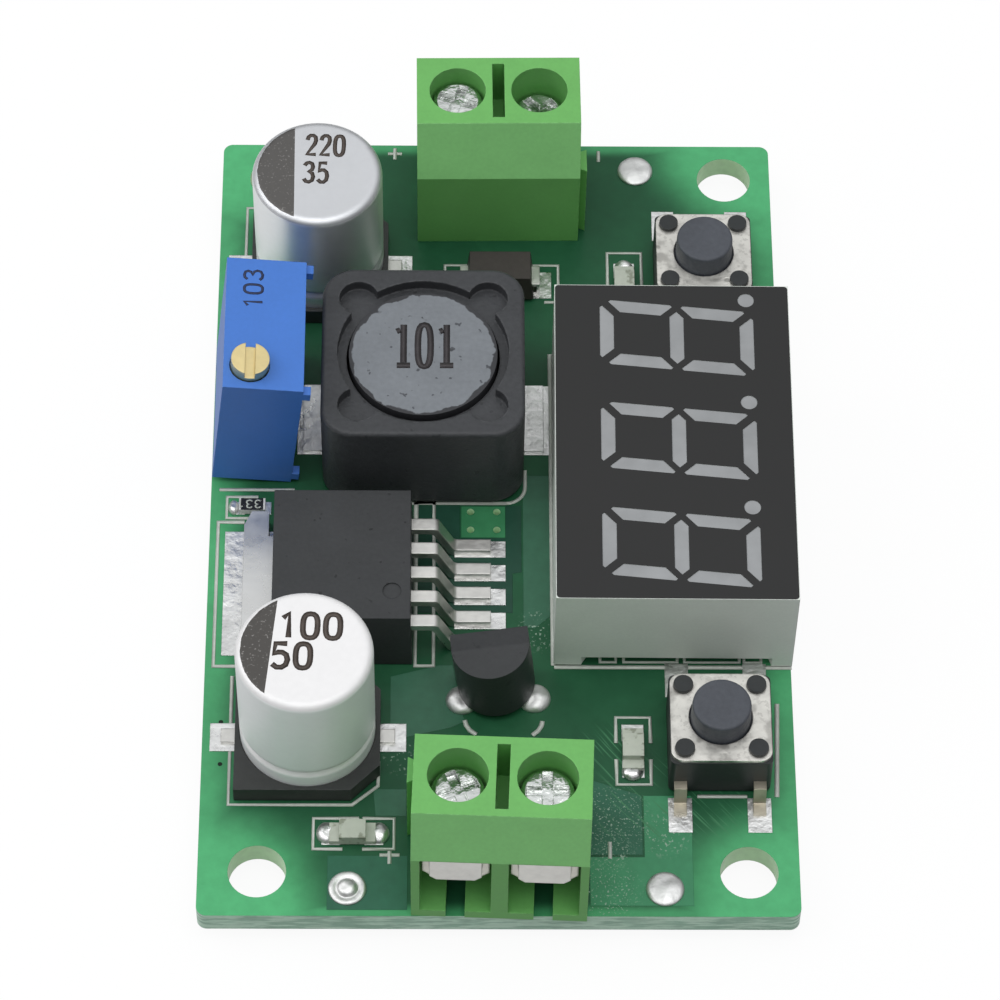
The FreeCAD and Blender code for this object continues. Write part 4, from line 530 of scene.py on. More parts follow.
def ribbon_tree(name):
    tree = bpy.data.node_groups.new(name, "GeometryNodeTree")
    face = tree.interface
    face.new_socket("Geometry", in_out="INPUT", socket_type="NodeSocketGeometry")
    width = face.new_socket("Width", in_out="INPUT", socket_type="NodeSocketFloat")
    height = face.new_socket("Height", in_out="INPUT", socket_type="NodeSocketFloat")
    material = face.new_socket("Material", in_out="INPUT", socket_type="NodeSocketMaterial")
    face.new_socket("Geometry", in_out="OUTPUT", socket_type="NodeSocketGeometry")
    add, link = tree.nodes.new, tree.links.new
    inside, outside = add("NodeGroupInput"), add("NodeGroupOutput")
    path = add("GeometryNodeMeshToCurve")
    link(inside.outputs["Geometry"], path.inputs["Mesh"])
    section = add("GeometryNodeCurvePrimitiveQuadrilateral")
    link(inside.outputs["Width"], section.inputs["Width"])
    link(inside.outputs["Height"], section.inputs["Height"])
    swept = add("GeometryNodeCurveToMesh")
    swept.inputs["Fill Caps"].default_value = True
    link(path.outputs["Curve"], swept.inputs["Curve"])
    link(section.outputs["Curve"], swept.inputs["Profile Curve"])
    real = add("GeometryNodeRealizeInstances")
    link(swept.outputs["Mesh"], real.inputs["Geometry"])
    coloured = add("GeometryNodeSetMaterial")
    link(real.outputs["Geometry"], coloured.inputs["Geometry"])
    link(inside.outputs["Material"], coloured.inputs["Material"])
    link(coloured.outputs["Geometry"], outside.inputs["Geometry"])
    return tree, (width.identifier, height.identifier, material.identifier)


RIBBON, RIBBON_INPUTS = ribbon_tree("printed_ribbon")


def path_mesh(name, lines, up):
    verts, edges = [], []
    for line in lines:
        first = len(verts)
        verts += [on_board(x, y, up) for x, y in line]
        edges += [(first + step, first + step + 1) for step in range(len(line) - 1)]
    data = bpy.data.meshes.new(name)
    data.from_pydata(verts, edges, [])
    return data


def ribbon_mesh(name, lines, up, width, ink):
    source = bpy.data.objects.new(name + "_source", path_mesh(name + "_lines", lines, up))
    bpy.context.scene.collection.objects.link(source)
    modifier = source.modifiers.new("build", "NODES")
    modifier.node_group = RIBBON
    for key, given in zip(RIBBON_INPUTS, (width * MM, PRINT_THICKNESS * MM, ink)):
        modifier[key] = given
    depsgraph = bpy.context.evaluated_depsgraph_get()
    result = bpy.data.meshes.new_from_object(source.evaluated_get(depsgraph))
    bpy.data.objects.remove(source)
    result.name = name
    return result


PRINTS = {"board_print": (THIN_PRINT, THIN_LINE), "board_print_broad": (BROAD_PRINT, BROAD_LINE)}
for name, (lines, width) in PRINTS.items():
    add_piece(name, ribbon_mesh(name, lines, PRINT_LEVEL, width, INK), INK)

# Solder: bright tin alloy under every surface-mounted lead and round the pins below.
# It has frozen with a slightly wrinkled skin, its tone mottled.

SOLDER = grained("solder_bright", (0.74, 0.74, 0.73), 0.32, size=1500.0, mottle=0.55, rough_change=0.4,
                 bump=1.0, depth=0.08, metallic=0.95)
DULL_SOLDER = grained("solder_dull", (0.72, 0.72, 0.71), 0.48, size=1200.0, mottle=0.45, rough_change=0.35,
                      bump=1.0, depth=0.07, metallic=0.9)
dress(SOLDER, "surface_solder", "solder_joints")

# Solder domes: tin alloy on the wire pads, on the reference's outer pins and at the ends of the chips.
# Each froze as it wetted the metal, so no two are quite alike.
# The first wire pad has a ring with a small bump, the others are filled level to their rims.

DOME_SEGMENTS = 40
LUMP_SIZE = 1500.0
LUMP_SHARE = 0.30
RINGED_DOME = [(1.12, 0.02), (1.09, 0.10), (0.98, 0.16), (0.76, 0.13), (0.66, 0.07), (0.60, 0.10),
               (0.54, 0.22), (0.42, 0.30), (0.24, 0.35), (0.10, 0.36)]
FULL_DOME = [(1.12, 0.02), (1.11, 0.09), (1.04, 0.16), (0.88, 0.21), (0.62, 0.24), (0.36, 0.26),
             (0.12, 0.26)]
PIN_DOME = [(0.98, 0.02), (0.96, 0.12), (0.88, 0.24), (0.72, 0.35), (0.50, 0.43), (0.28, 0.47),
            (0.10, 0.48)]
END_BLOB = [(1.0, 0.01), (0.98, 0.10), (0.90, 0.22), (0.74, 0.32), (0.50, 0.39), (0.26, 0.42),
            (0.08, 0.43)]


def dome_ring(made, centre, radius, height, stretch):
    ring = []
    for step in range(DOME_SEGMENTS):
        angle = math.tau * step / DOME_SEGMENTS
        across = stretch[0] * radius * math.cos(angle)
        along = stretch[1] * radius * math.sin(angle)
        place = on_board(centre[0] + across, centre[1] + along, height)
        lumps = noise.noise(place * LUMP_SIZE) * LUMP_SHARE * height
        ring.append(made.verts.new(place + Vector((0.0, 0.0, lumps * MM))))
    return ring


def dome_mesh(name, spots):
    made = bmesh.new()
    for centre, profile, stretch in spots:
        rings = [dome_ring(made, centre, radius, height, stretch) for radius, height in profile]
        for low, high in zip(rings, rings[1:]):
            for step in range(DOME_SEGMENTS):
                after = (step + 1) % DOME_SEGMENTS
                made.faces.new((low[step], low[after], high[after], high[step]))
        made.faces.new(rings[-1])
        made.faces.new(list(reversed(rings[0])))
    bmesh.ops.recalc_face_normals(made, faces=made.faces)
    for face in made.faces:
        face.smooth = True
    data = bpy.data.meshes.new(name)
    made.to_mesh(data)
    made.free()
    return data


ROUND = (1.0, 1.0)
WIRE_PADS = [((-8.78, -26.22), RINGED_DOME, ROUND), ((9.64, -26.22), FULL_DOME, ROUND),
             ((-8.9, 25.95), FULL_DOME, ROUND), ((8.9, 25.95), FULL_DOME, ROUND)]
REFERENCE_PINS = [((-2.15, -13.55), PIN_DOME, ROUND), ((2.15, -13.42), PIN_DOME, ROUND)]
CHIP_ENDS = [((-10.05, -22.6), END_BLOB, (0.60, 0.72)), ((-6.98, -22.6), END_BLOB, (0.62, 0.72)),
             ((7.90, -18.42), END_BLOB, (0.66, 0.60)), ((8.03, 18.25), END_BLOB, (0.62, 0.55)),
             ((-16.08, 0.03), END_BLOB, (0.34, 0.50))]
wire_domes = add_piece("wire_pad_domes", dome_mesh("wire_pad_domes", WIRE_PADS), DULL_SOLDER)
dress(DULL_SOLDER, "wire_pads")
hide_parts("wire_pads")
pin_domes = add_piece("reference_pin_domes", dome_mesh("reference_pin_domes", REFERENCE_PINS), DULL_SOLDER)
end_blobs = add_piece("chip_end_blobs", dome_mesh("chip_end_blobs", CHIP_ENDS), SOLDER)

# Screw terminals: moulded green housings, open at the wire side, pushed into the board by their pins.
# The plastic is a satin polyamide, with patches of painted highlight along its edges.
# Its sloped front is painted a paler green, a painted highlight where it faces up into the light.

PLAIN_GREEN = (0.150, 0.440, 0.115)
SLOPE_PAINTED_LIGHT_GREEN = (0.240, 0.590, 0.205)
SLOPE_RISE = (0.12, 0.90)


# Faces that slope upward get the paler green as painted light; level and upright faces keep the plain green.
def slope_painted_light(tree):
    least, most = SLOPE_RISE
    below_level = math_node(tree, "LESS_THAN", upwardness(tree), most)
    slope = math_node(tree, "MULTIPLY", faces_up(tree, least), below_level)
    return mix_colour(tree, slope, PLAIN_GREEN, SLOPE_PAINTED_LIGHT_GREEN)


dress(grained("terminal_green", None, 0.48, size=4200.0, mottle=0.16, bump=0.25, base=slope_painted_light,
              edge=0.09, edge_highlight=0.7), "input_terminal_housing", "output_terminal_housing")

# Clamp cages, contact strips and screws of the terminals: zinc-plated steel and tinned brass.
# The plating is bright, with dull stains where the parts were tumbled together.

PLATED = grained("zinc_plate", (0.66, 0.68, 0.66), 0.20, size=950.0, mottle=0.45, rough_change=0.25,
                 bump=1.0, depth=0.16, metallic=1.0, edge=0.10)
CAGE_PLATE = grained("cage_plate", (0.72, 0.69, 0.64), 0.38, size=1400.0, mottle=0.50, rough_change=0.3,
                     bump=0.8, depth=0.06, pits=0.5, metallic=0.9, edge=0.14)
ends = ("input", "output")
sides = ("left", "right")
dress(PLATED, *[f"{end}_screw_{side}" for end in ends for side in sides])
dress(CAGE_PLATE, *[f"{end}_cage_{side}" for end in ends for side in sides])
TINNED = grained("tinned_leads", (0.66, 0.65, 0.62), 0.36, size=1800.0, mottle=0.35, rough_change=0.25,
                 bump=0.6, depth=0.03, metallic=1.0, edge=0.10)
dress(TINNED, "input_terminal_contacts", "output_terminal_contacts")

# Electrolytic capacitors: drawn aluminium cans crimped into black moulded bases.
# The lid has a pale coat, with a dark segment for the negative side and plain numbers.
# The numbers are pen strokes that a node tree turns into ribbons, settled on the surface below them.

CAN_PRINT_RADIUS = 3.72
CAN_METAL = (0.93, 0.95, 0.95)
STRIPE_FLECKS = (0.26, 0.25, 0.24)
FLECK_SIZE = 6500.0
FLECK_STEP = (0.60, 0.70)
RAGGED_SIZE = 2600.0
RAGGED_REACH = 0.10
LID_FACING = 0.35
CANS = {
    "input": {
        "centre": (-11.24, -16.13), "edge": -1.90, "tilt": 5.6,
        "lid": (0.86, 0.85, 0.85), "metallic": 0.15, "stripe": (0.075, 0.070, 0.065),
        "numbers": ("100", "50"), "starts": ((-12.68, -15.32), (-13.06, -17.34)),
        "height": 1.62, "width": 0.54, "stroke": 0.34,
    },
    "output": {
        "centre": (-11.12, 18.19), "edge": -1.39, "tilt": -0.6,
        "lid": (0.66, 0.67, 0.69), "metallic": 0.85, "stripe": (0.13, 0.125, 0.12),
        "numbers": ("220", "35"), "starts": ((-11.80, 19.50), (-11.94, 17.40)),
        "height": 1.50, "width": 0.38, "stroke": 0.26,
    },
}
LETTER_INK = grained("lid_ink", (0.085, 0.068, 0.058), 0.5, size=2200.0, mottle=1.0, bump=0.3)


def can_material(name, can):
    centre = on_board(*can["centre"])
    tilt = math.radians(can["tilt"])

    def lid_colour(tree):
        across, along = offset_from(tree, "X", centre.x), offset_from(tree, "Y", centre.y)
        level = math_node(tree, "SUBTRACT", math_node(tree, "MULTIPLY", across, math.cos(tilt)),
                          math_node(tree, "MULTIPLY", along, math.sin(tilt)))
        stripe = math_node(tree, "LESS_THAN", level, can["edge"] * MM)
        ragged = math_node(tree, "MULTIPLY", noise_of(tree, position(tree), RAGGED_SIZE, 2.0),
                           RAGGED_REACH * MM)
        radius = math_node(tree, "ADD", length_of(tree, across, along), ragged)
        printed = math_node(tree, "LESS_THAN", radius, CAN_PRINT_RADIUS * MM)
        flecks = smooth_step(tree, noise_of(tree, position(tree), FLECK_SIZE, 4.0), *FLECK_STEP)
        dark = mix_colour(tree, flecks, can["stripe"], STRIPE_FLECKS)
        lid = mix_colour(tree, math_node(tree, "MULTIPLY", stripe, printed), can["lid"], dark)
        return mix_colour(tree, faces_up(tree, LID_FACING), CAN_METAL, lid)

    return grained(name, None, 0.44, size=2500.0, mottle=0.07, rough_change=0.1, bump=0.2,
                   metallic=can["metallic"], base=lid_colour, edge=0.30)


LOOP_STEPS = 20
LOOP_SQUARENESS = 0.72


def squared(value):
    return math.copysign(abs(value) ** LOOP_SQUARENESS, value)


def pen_loop(x, y, half_width, half_height):
    turns = [math.tau * step / LOOP_STEPS for step in range(LOOP_STEPS + 1)]
    return [(x + half_width * squared(math.cos(turn)), y + half_height * squared(math.sin(turn)))
            for turn in turns]


PEN_DIGITS = {
    "0": [pen_loop(0.30, 0.50, 0.29, 0.50)],
    "1": [[(0.12, 0.80), (0.36, 1.00), (0.36, 0.0)]],
    "slab 1": [[(0.02, 0.84), (0.19, 0.87)], [(0.34, 1.0), (0.34, 0.10)], [(0.04, 0.03), (0.64, 0.03)]],
    "2": [[(0.02, 0.76), (0.08, 0.92), (0.22, 1.0), (0.40, 1.0), (0.54, 0.91), (0.57, 0.74), (0.50, 0.56),
           (0.02, 0.02), (0.60, 0.02)]],
    "3": [[(0.02, 0.84), (0.14, 0.97), (0.32, 1.0), (0.50, 0.94), (0.56, 0.78), (0.50, 0.62), (0.30, 0.54),
           (0.52, 0.46), (0.60, 0.28), (0.54, 0.09), (0.34, 0.0), (0.14, 0.03), (0.0, 0.16)]],
    "5": [[(0.56, 0.99), (0.10, 0.99), (0.05, 0.56), (0.20, 0.63), (0.38, 0.63), (0.54, 0.53), (0.60, 0.33),
           (0.54, 0.12), (0.38, 0.01), (0.18, 0.01), (0.0, 0.14)]],
}
DIGIT_WIDTH = 0.6
INK_RISE = 0.005
CAN_NUMBER_TURN = -1.5


def settled(data, node):
    depsgraph = bpy.context.evaluated_depsgraph_get()
    target = nodes[node].evaluated_get(depsgraph)
    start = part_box(node)[1][2] + MM
    for vertex in data.vertices:
        above = vertex.co.z
        found, place, _, _ = target.ray_cast(Vector((vertex.co.x, vertex.co.y, start)), Vector((0, 0, -1)))
        if found:
            vertex.co.z = place.z + above
    return data


def numbers(name, digits, node, start, height, stroke, ink, turn=0.0, width=0.62, pitch=1.5):
    cos, sin = math.cos(math.radians(turn)), math.sin(math.radians(turn))
    lines = []
    for index, digit in enumerate(digits):
        for pen_stroke in PEN_DIGITS[digit]:
            flat = [((x / DIGIT_WIDTH + index * pitch) * width * height, y * height) for x, y in pen_stroke]
            lines.append([(start[0] + x * cos - y * sin, start[1] + x * sin + y * cos) for x, y in flat])
    data = ribbon_mesh(name, lines, INK_RISE - BOARD_TOP, stroke, ink)
    add_piece(name, settled(data, node), ink)


for end, can in CANS.items():
    dress(can_material(f"{end}_can_skin", can), f"{end}_capacitor_can")
    for line, (digits, start) in enumerate(zip(can["numbers"], can["starts"]), start=1):
        numbers(f"{end}_can_number_{line}", digits, f"{end}_capacitor_can", start, can["height"],
                can["stroke"], LETTER_INK, turn=CAN_NUMBER_TURN, width=can["width"])
dress(grained("capacitor_base_black", (0.034, 0.036, 0.035), 0.5, size=1700.0, mottle=0.5, bump=0.8,
              depth=0.03, edge=0.08, edge_highlight=0.6), "input_capacitor_base", "output_capacitor_base")
dress(TINNED, "input_capacitor_leads", "output_capacitor_leads")

# Inductor: dull black ferrite shield with a paler pressed core sunk in its top, over a copper winding.
# The core's face is coated grey up to a ragged rim, with plain numbers inked on it.

dress(grained("ferrite_shield", (0.043, 0.045, 0.049), 0.46, size=3200.0, mottle=0.5, bump=0.9, depth=0.04,
              pits=0.3, edge=0.18, edge_highlight=0.5), "inductor_shield")
CORE_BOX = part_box("inductor_core")
CORE_CENTRE = ((CORE_BOX[0][0] + CORE_BOX[1][0]) / 2, (CORE_BOX[0][1] + CORE_BOX[1][1]) / 2)
COAT_GREY = (0.185, 0.200, 0.218)
COAT_FLECKS = (0.07, 0.075, 0.085)
CORE_DARK = (0.035, 0.036, 0.040)
COAT_RIM = (4.71, 4.79)
CHIPPED_SIZE = 900.0
CHIPPED_REACH = 0.90
COAT_FLECK_SIZE = 1800.0
COAT_FLECK_STEP = (0.66, 0.70)


def core_colour(tree):
    across, along = offset_from(tree, "X", CORE_CENTRE[0]), offset_from(tree, "Y", CORE_CENTRE[1])
    uneven = noise_of(tree, position(tree), CHIPPED_SIZE, 4.0)
    chipped = math_node(tree, "MULTIPLY", uneven, CHIPPED_REACH * MM)
    radius = math_node(tree, "ADD", length_of(tree, across, along), chipped)
    rim = step_in_mm(tree, radius, COAT_RIM)
    flecks = smooth_step(tree, noise_of(tree, position(tree), COAT_FLECK_SIZE, 2.0), *COAT_FLECK_STEP)
    return mix_colour(tree, rim, mix_colour(tree, flecks, COAT_GREY, COAT_FLECKS), CORE_DARK)


dress(grained("ferrite_core", None, 0.5, size=3300.0, mottle=0.30, bump=0.6, depth=0.02, pits=0.25,
              base=core_colour), "inductor_core")
CORE_INK = grained("core_ink", (0.045, 0.040, 0.042), 0.55, size=1800.0, mottle=0.7, bump=0.3)
numbers("inductor_number", ("slab 1", "0", "slab 1"), "inductor_core", start=(-6.20, 5.62), height=3.10,
        stroke=0.40, ink=CORE_INK, width=0.26, pitch=1.62)
dress(grained("winding_copper", (0.45, 0.17, 0.06), 0.35, size=3000.0, metallic=1.0), "inductor_coil")
dress(SOLDER, "inductor_terminals")

# Regulator: a matt black moulding with a tinned copper tab soldered flat to the board.
# The moulding has fine pits from its mould, and the tab is streaked by the solder.

MOULDED_BLACK = grained("moulded_black", (0.034, 0.036, 0.038), 0.52, size=3600.0, mottle=0.4, bump=0.7,
                        depth=0.02, pits=0.5, edge=0.08)
dress(MOULDED_BLACK, "regulator_body")
dress(TINNED, "regulator_leads")
dress(grained("regulator_tab_tin", (0.66, 0.66, 0.65), 0.34, size=700.0, mottle=0.25, rough_change=0.4,
              bump=0.5, depth=0.03, metallic=1.0), "regulator_tab")

# Reference: a small half-round moulding of black epoxy on three pins, leaning back a little.
# It is a shade glossier than the regulator, which was moulded in a rougher tool.

dress(grained("reference_moulding", (0.034, 0.036, 0.038), 0.42, size=3600.0, mottle=0.35, bump=0.6,
              depth=0.02, pits=0.3, edge=0.06), "reference_body")
dress(TINNED, "reference_leads")

# Diode: a flat block of brown-black epoxy moulded round its chip, soldered down by a lead at each end.
# Its leads are tinned, as the others are.

dress(grained("diode_moulding", (0.040, 0.034, 0.030), 0.5, size=3000.0, mottle=0.4, bump=0.6, depth=0.02,
              edge=0.08), "diode_body")
dress(TINNED, "diode_leads")

# Trimmer: a moulded box of satin blue plastic with a turned brass screw, leaning to the left.
# Plain numbers are inked along its top, and a toothed wheel and a ceramic plate are inside it.

dress(grained("trimmer_blue", (0.060, 0.190, 0.600), 0.44, size=4200.0, mottle=0.12, bump=0.2, edge=0.08,
              edge_highlight=0.5), "trimmer_housing", "trimmer_base")
dress(grained("screw_brass", (0.80, 0.66, 0.34), 0.34, size=1900.0, mottle=0.25, rough_change=0.25,
              bump=0.5, depth=0.02, metallic=1.0, edge=0.06), "trimmer_screw")
dress(grained("ceramic_white", (0.72, 0.70, 0.64), 0.55, size=3000.0, mottle=0.1, bump=0.3),
      "trimmer_element", "trimmer_rotor")
dress(TINNED, "trimmer_pins")
TRIMMER_INK = grained("trimmer_ink", (0.035, 0.045, 0.10), 0.55, size=3000.0, mottle=0.6, bump=0.2)
numbers("trimmer_number", "103", "trimmer_housing", start=(-14.22, 7.90), height=1.10, stroke=0.17,
        ink=TRIMMER_INK, turn=91.0)

# Chip resistor and indicator lights: small chips with tinned ends, soldered flat to the board.
# The resistor is ceramic with a black glaze and plain numbers, and the lights have cream resin lenses.

RESISTOR_SPOT = (-14.95, 0.03)
GLAZE_HALF = 0.68
GLAZE_BLACK = (0.018, 0.018, 0.02)
CHIP_END = (0.62, 0.62, 0.61)
LENS_CREAM = (0.46, 0.49, 0.42)
LENS_STAIN = (0.26, 0.28, 0.22)
LENS_STAIN_SIZE = 1500.0
LENS_STAIN_STEP = (0.56, 0.66)


def resistor_colour(tree):
    across = math_node(tree, "ABSOLUTE", offset_from(tree, "X", on_board(*RESISTOR_SPOT).x))
    middle = math_node(tree, "LESS_THAN", across, GLAZE_HALF * MM)
    return mix_colour(tree, math_node(tree, "MULTIPLY", middle, faces_up(tree)), CHIP_END, GLAZE_BLACK)


def lens_colour(tree):
    stain = smooth_step(tree, noise_of(tree, position(tree), LENS_STAIN_SIZE, 3.0), *LENS_STAIN_STEP)
    return mix_colour(tree, stain, LENS_CREAM, LENS_STAIN)


dress(grained("resistor_glaze", None, 0.32, size=3000.0, mottle=0.2, bump=0.2, base=resistor_colour),
      "chip_resistors")
numbers("resistor_number", "331", "chip_resistors", start=(-14.42, 0.32), height=0.56, stroke=0.10,
        ink=INK, turn=180.0)
dress(grained("light_lens", None, 0.35, size=2500.0, mottle=0.2, bump=0.4, depth=0.02, base=lens_colour),
      "indicator_leds")

# Display: a block moulded in pale plastic, whose top is printed dark grey round the cast resin segments.
# The print stops just short of the block's edges, with small rounded corners.

DISPLAY_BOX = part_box("display_housing")
DISPLAY_CENTRE = on_board(10.5, 0.2)
DISPLAY_HALF = (14.25 / 2, 22.58 / 2)
DISPLAY_TURN = -0.3
DISPLAY_SHELL = (0.74, 0.78, 0.73)
DISPLAY_PRINT = (0.021, 0.021, 0.021)
PRINT_INSET = 0.03
PRINT_CORNER = 0.22
PRINT_DEPTH = 0.03


def display_colour(tree):
    turn = math.radians(DISPLAY_TURN)
    x, y = offset_from(tree, "X", DISPLAY_CENTRE.x), offset_from(tree, "Y", DISPLAY_CENTRE.y)
    across = math_node(tree, "ADD", math_node(tree, "MULTIPLY", x, math.cos(turn)),
                       math_node(tree, "MULTIPLY", y, math.sin(turn)))
    along = math_node(tree, "SUBTRACT", math_node(tree, "MULTIPLY", y, math.cos(turn)),
                      math_node(tree, "MULTIPLY", x, math.sin(turn)))
    over = []
    for given, half in zip((across, along), DISPLAY_HALF):
        limit = (half - PRINT_INSET - PRINT_CORNER) * MM
        beyond = math_node(tree, "SUBTRACT", math_node(tree, "ABSOLUTE", given), limit)
        over.append(math_node(tree, "MAXIMUM", beyond, 0.0))
    printed = math_node(tree, "LESS_THAN", length_of(tree, *over), PRINT_CORNER * MM)
    top = math_node(tree, "GREATER_THAN", axis_of(tree, "Z"), DISPLAY_BOX[1][2] - PRINT_DEPTH * MM)
    return mix_colour(tree, math_node(tree, "MULTIPLY", printed, top), DISPLAY_SHELL, DISPLAY_PRINT)


dress(grained("display_shell", None, 0.5, size=5000.0, mottle=0.10, bump=0.2, specular=0.3,
              base=display_colour), "display_housing")
dress(TINNED, "display_pins")

# Display housing with its front slot: the moulded wall stops short of the board between two feet.
# It is the block above with that slot cut in it, through which the board's print shows.

FRONT_SLOT = [(4.86, -12.0), (16.36, -12.0), (16.36, -11.2), (16.06, -10.3), (5.42, -10.3), (4.86, -11.2)]
SLOT_FOOT = -0.5
SLOT_TOP = 0.92
MERGE_REACH = 0.0001


def merged_copy(node):
    data = nodes[node].data.copy()
    made = bmesh.new()
    made.from_mesh(data)
    bmesh.ops.remove_doubles(made, verts=made.verts, dist=MERGE_REACH * MM)
    made.to_mesh(data)
    made.free()
    return data


def cut_copy(name, node, outline, low, high):
    whole = bpy.data.objects.new(name + "_whole", merged_copy(node))
    knife = bpy.data.objects.new(name + "_knife", plate_mesh(name + "_knife", [outline], low, high))
    for made in (whole, knife):
        bpy.context.scene.collection.objects.link(made)
    modifier = whole.modifiers.new("cut", "BOOLEAN")
    modifier.operation = "DIFFERENCE"
    modifier.object = knife
    depsgraph = bpy.context.evaluated_depsgraph_get()
    result = bpy.data.meshes.new_from_object(whole.evaluated_get(depsgraph))
    result.name = name
    for made in (whole, knife):
        bpy.data.objects.remove(made)
    return result


slotted_mesh = cut_copy("display_housing_slotted", "display_housing", FRONT_SLOT, SLOT_FOOT, SLOT_TOP)
slotted = add_piece("display_housing_slotted", slotted_mesh, None)
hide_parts("display_housing")

# Inside of the display: cast grey resin bars standing on a small green board, with the meter's chip below.
# The resin is poured from below, and its grey is mottled in broad patches.

dress(grained("segment_resin", (0.300, 0.308, 0.315), 0.35, size=700.0, mottle=0.40, bump=0.1),
      "display_segments")
dress(grained("carrier_board", (0.02, 0.16, 0.07), 0.4), "display_carrier")
dress(MOULDED_BLACK, "meter_chip")

# Push switches: black moulded bases with a bright cover plate held by four melted posts.
# The cover is stained by the flux, and the leads are a darker tinned brass.

PLATE_BRIGHT = (0.68, 0.665, 0.62)
PLATE_STAIN = (0.26, 0.25, 0.23)
SMEARS = [(900.0, 5.0, (0.50, 0.68), 0.6), (3600.0, 4.0, (0.56, 0.64), 0.3)]


def stained_plate(tree):
    layers = []
    for size, detail, step, share in SMEARS:
        smear = smooth_step(tree, noise_of(tree, position(tree), size, detail), *step)
        layers.append(math_node(tree, "MULTIPLY", smear, share))
    return mix_colour(tree, math_node(tree, "MAXIMUM", *layers), PLATE_BRIGHT, PLATE_STAIN)


COVER_PLATE = grained("switch_cover_plate", None, 0.38, size=1500.0, mottle=0.35, rough_change=0.3,
                      bump=0.7, depth=0.04, pits=0.4, metallic=0.9, edge=0.08, base=stained_plate)
BUTTON = grained("button_black", (0.068, 0.074, 0.088), 0.55, size=3000.0, mottle=0.4, bump=1.0, depth=0.04,
                 edge=0.12)
SWITCH_BASE = grained("switch_base_black", (0.024, 0.027, 0.028), 0.48, size=2600.0, mottle=0.4, bump=0.5,
                      edge=0.06, edge_highlight=0.3)
SWITCH_LEADS = grained("switch_leads", (0.50, 0.46, 0.37), 0.38, size=1500.0, mottle=0.5, rough_change=0.3,
                       bump=0.5, depth=0.03, metallic=0.9)
for end in ("front", "back"):
    dress(COVER_PLATE, f"{end}_switch_cover", f"{end}_switch_dome")
    dress(BUTTON, f"{end}_switch_button")
    dress(SWITCH_BASE, f"{end}_switch_base")
    dress(SWITCH_LEADS, f"{end}_switch_leads")

# Floor and light: a plain white table under a broad soft sky and two soft lamps, as in a small studio.
# The sky is brightest overhead and dim near the ground, so metal shows both light and dark.

FLOOR_LEVEL = cad_box[0][2] - 0.03 * MM
FLOOR_REACH = 2.0
FLOOR_GLOW = 0.93
GLOSSY_SHARE = 0.7
TABLE_SEEN = (0.95, 0.955, 0.96)
TABLE_BOUNCE = (0.28, 0.285, 0.29)
TABLE_ROUGHNESS = 0.8


def table_material():
    made = bpy.data.materials.new("white_table")
    made.use_nodes = True
    tree = made.node_tree
    shader = tree.nodes["Principled BSDF"]
    shader.inputs["Roughness"].default_value = TABLE_ROUGHNESS
    glow = tree.nodes.new("ShaderNodeEmission")
    glow.inputs["Color"].default_value = (1.0, 1.0, 1.0, 1.0)
    rays = tree.nodes.new("ShaderNodeLightPath").outputs
    tint = mix_colour(tree, rays["Is Camera Ray"], TABLE_BOUNCE, TABLE_SEEN)
    tree.links.new(tint, shader.inputs["Base Color"])
    through = math_node(tree, "MAXIMUM", rays["Is Camera Ray"], rays["Is Transmission Ray"])
    mirrored = math_node(tree, "MULTIPLY", rays["Is Glossy Ray"], GLOSSY_SHARE)
    seen = math_node(tree, "MAXIMUM", through, mirrored)
    blend = tree.nodes.new("ShaderNodeMixShader")
    tree.links.new(math_node(tree, "MULTIPLY", seen, FLOOR_GLOW), blend.inputs["Fac"])
    tree.links.new(shader.outputs["BSDF"], blend.inputs[1])
    tree.links.new(glow.outputs["Emission"], blend.inputs[2])
    tree.links.new(blend.outputs["Shader"], tree.nodes["Material Output"].inputs["Surface"])
    return made


floor_mesh = bpy.data.meshes.new("floor")
floor_mesh.from_pydata([(across * FLOOR_REACH, along * FLOOR_REACH, FLOOR_LEVEL)
                        for across, along in ((-1, -1), (1, -1), (1, 1), (-1, 1))], [], [(0, 1, 2, 3)])
floor_mesh.materials.append(table_material())
floor = bpy.data.objects.new("floor", floor_mesh)
bpy.context.scene.collection.objects.link(floor)


def square_lamp(name, place, side, power):
    data = bpy.data.lights.new(name, "AREA")
    data.size = side
    data.energy = power
    made = bpy.data.objects.new(name, data)
    made.location = place
    made.rotation_euler = (-Vector(place)).to_track_quat("-Z", "Y").to_euler()
    bpy.context.scene.collection.objects.link(made)


square_lamp("left_softbox", place=(-0.62, 0.10, 0.55), side=0.60, power=2.0)
square_lamp("front_softbox", place=(0.05, -0.12, 0.81), side=0.50, power=1.6)

SKY_STOPS = [(0.0, 0.05), (0.50, 0.05), (0.66, 0.16), (0.82, 0.62), (0.92, 1.0), (1.0, 1.1)]
SKY_TINT = (0.97, 0.985, 1.0)


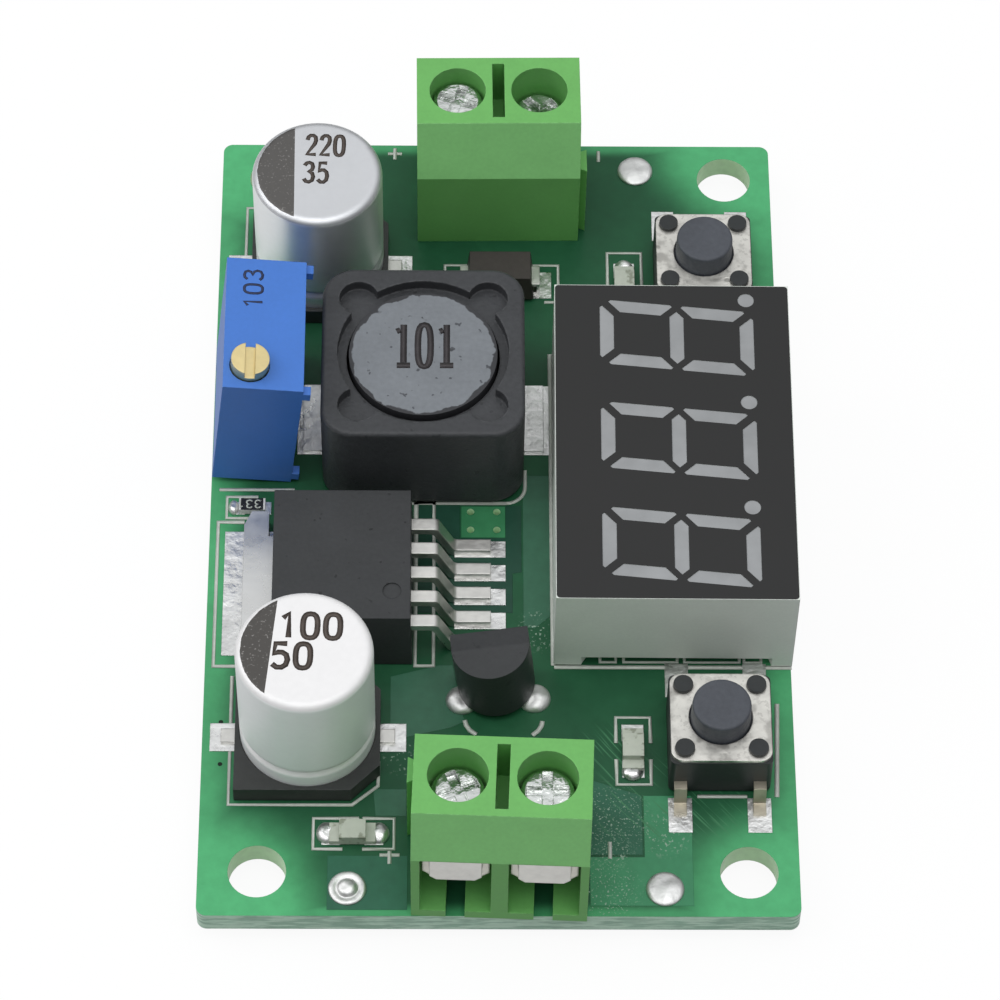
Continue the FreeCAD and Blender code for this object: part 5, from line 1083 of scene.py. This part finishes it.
def studio_sky():
    world = bpy.data.worlds.new("studio")
    bpy.context.scene.world = world
    world.use_nodes = True
    tree = world.node_tree
    direction = tree.nodes.new("ShaderNodeTexCoord").outputs["Generated"]
    rise = math_node(tree, "MULTIPLY", math_node(tree, "ADD", axis_of(tree, "Z", direction), 1.0), 0.5)
    shade = tree.nodes.new("ShaderNodeValToRGB")
    while len(shade.color_ramp.elements) < len(SKY_STOPS):
        shade.color_ramp.elements.new(0.5)
    for element, (place, value) in zip(shade.color_ramp.elements, SKY_STOPS):
        element.position = place
        element.color = (*[channel * value for channel in SKY_TINT], 1.0)
    tree.links.new(rise, shade.inputs["Fac"])
    tree.links.new(shade.outputs["Color"], tree.nodes["Background"].inputs["Color"])


studio_sky()

# Camera: a long lens from the front, looking down at about 57 degrees, fitted to the photograph.
# Its place is in millimetres from the module's own origin.

CAMERA_PLACE = (-3.325, -152.966, 235.833)
CAMERA_DOWN = 56.74
CAMERA_TURN = 1.203
CAMERA_ROLL = 1.206
CAMERA_LENS = 164.92
SENSOR_WIDTH = 36.0
NEAREST_SEEN = 0.01


def camera_matrix():
    down, turn, roll = (math.radians(angle) for angle in (CAMERA_DOWN, CAMERA_TURN, CAMERA_ROLL))
    ahead = Vector((math.sin(turn) * math.cos(down), math.cos(turn) * math.cos(down), -math.sin(down)))
    right = Vector((math.cos(turn), -math.sin(turn), 0.0))
    up = right.cross(ahead)
    rolled = right * math.cos(roll) + up * math.sin(roll)
    upright = up * math.cos(roll) - right * math.sin(roll)
    basis = Matrix((rolled, upright, -ahead)).transposed().to_4x4()
    return Matrix.Translation(Vector(CAMERA_PLACE) * MM) @ basis


camera_data = bpy.data.cameras.new("camera")
camera_data.lens = CAMERA_LENS
camera_data.sensor_width = SENSOR_WIDTH
camera_data.clip_start = NEAREST_SEEN
camera = bpy.data.objects.new("camera", camera_data)
camera.matrix_world = camera_matrix()
bpy.context.scene.collection.objects.link(camera)
bpy.context.scene.camera = camera
bpy.context.scene.view_settings.view_transform = "Standard"
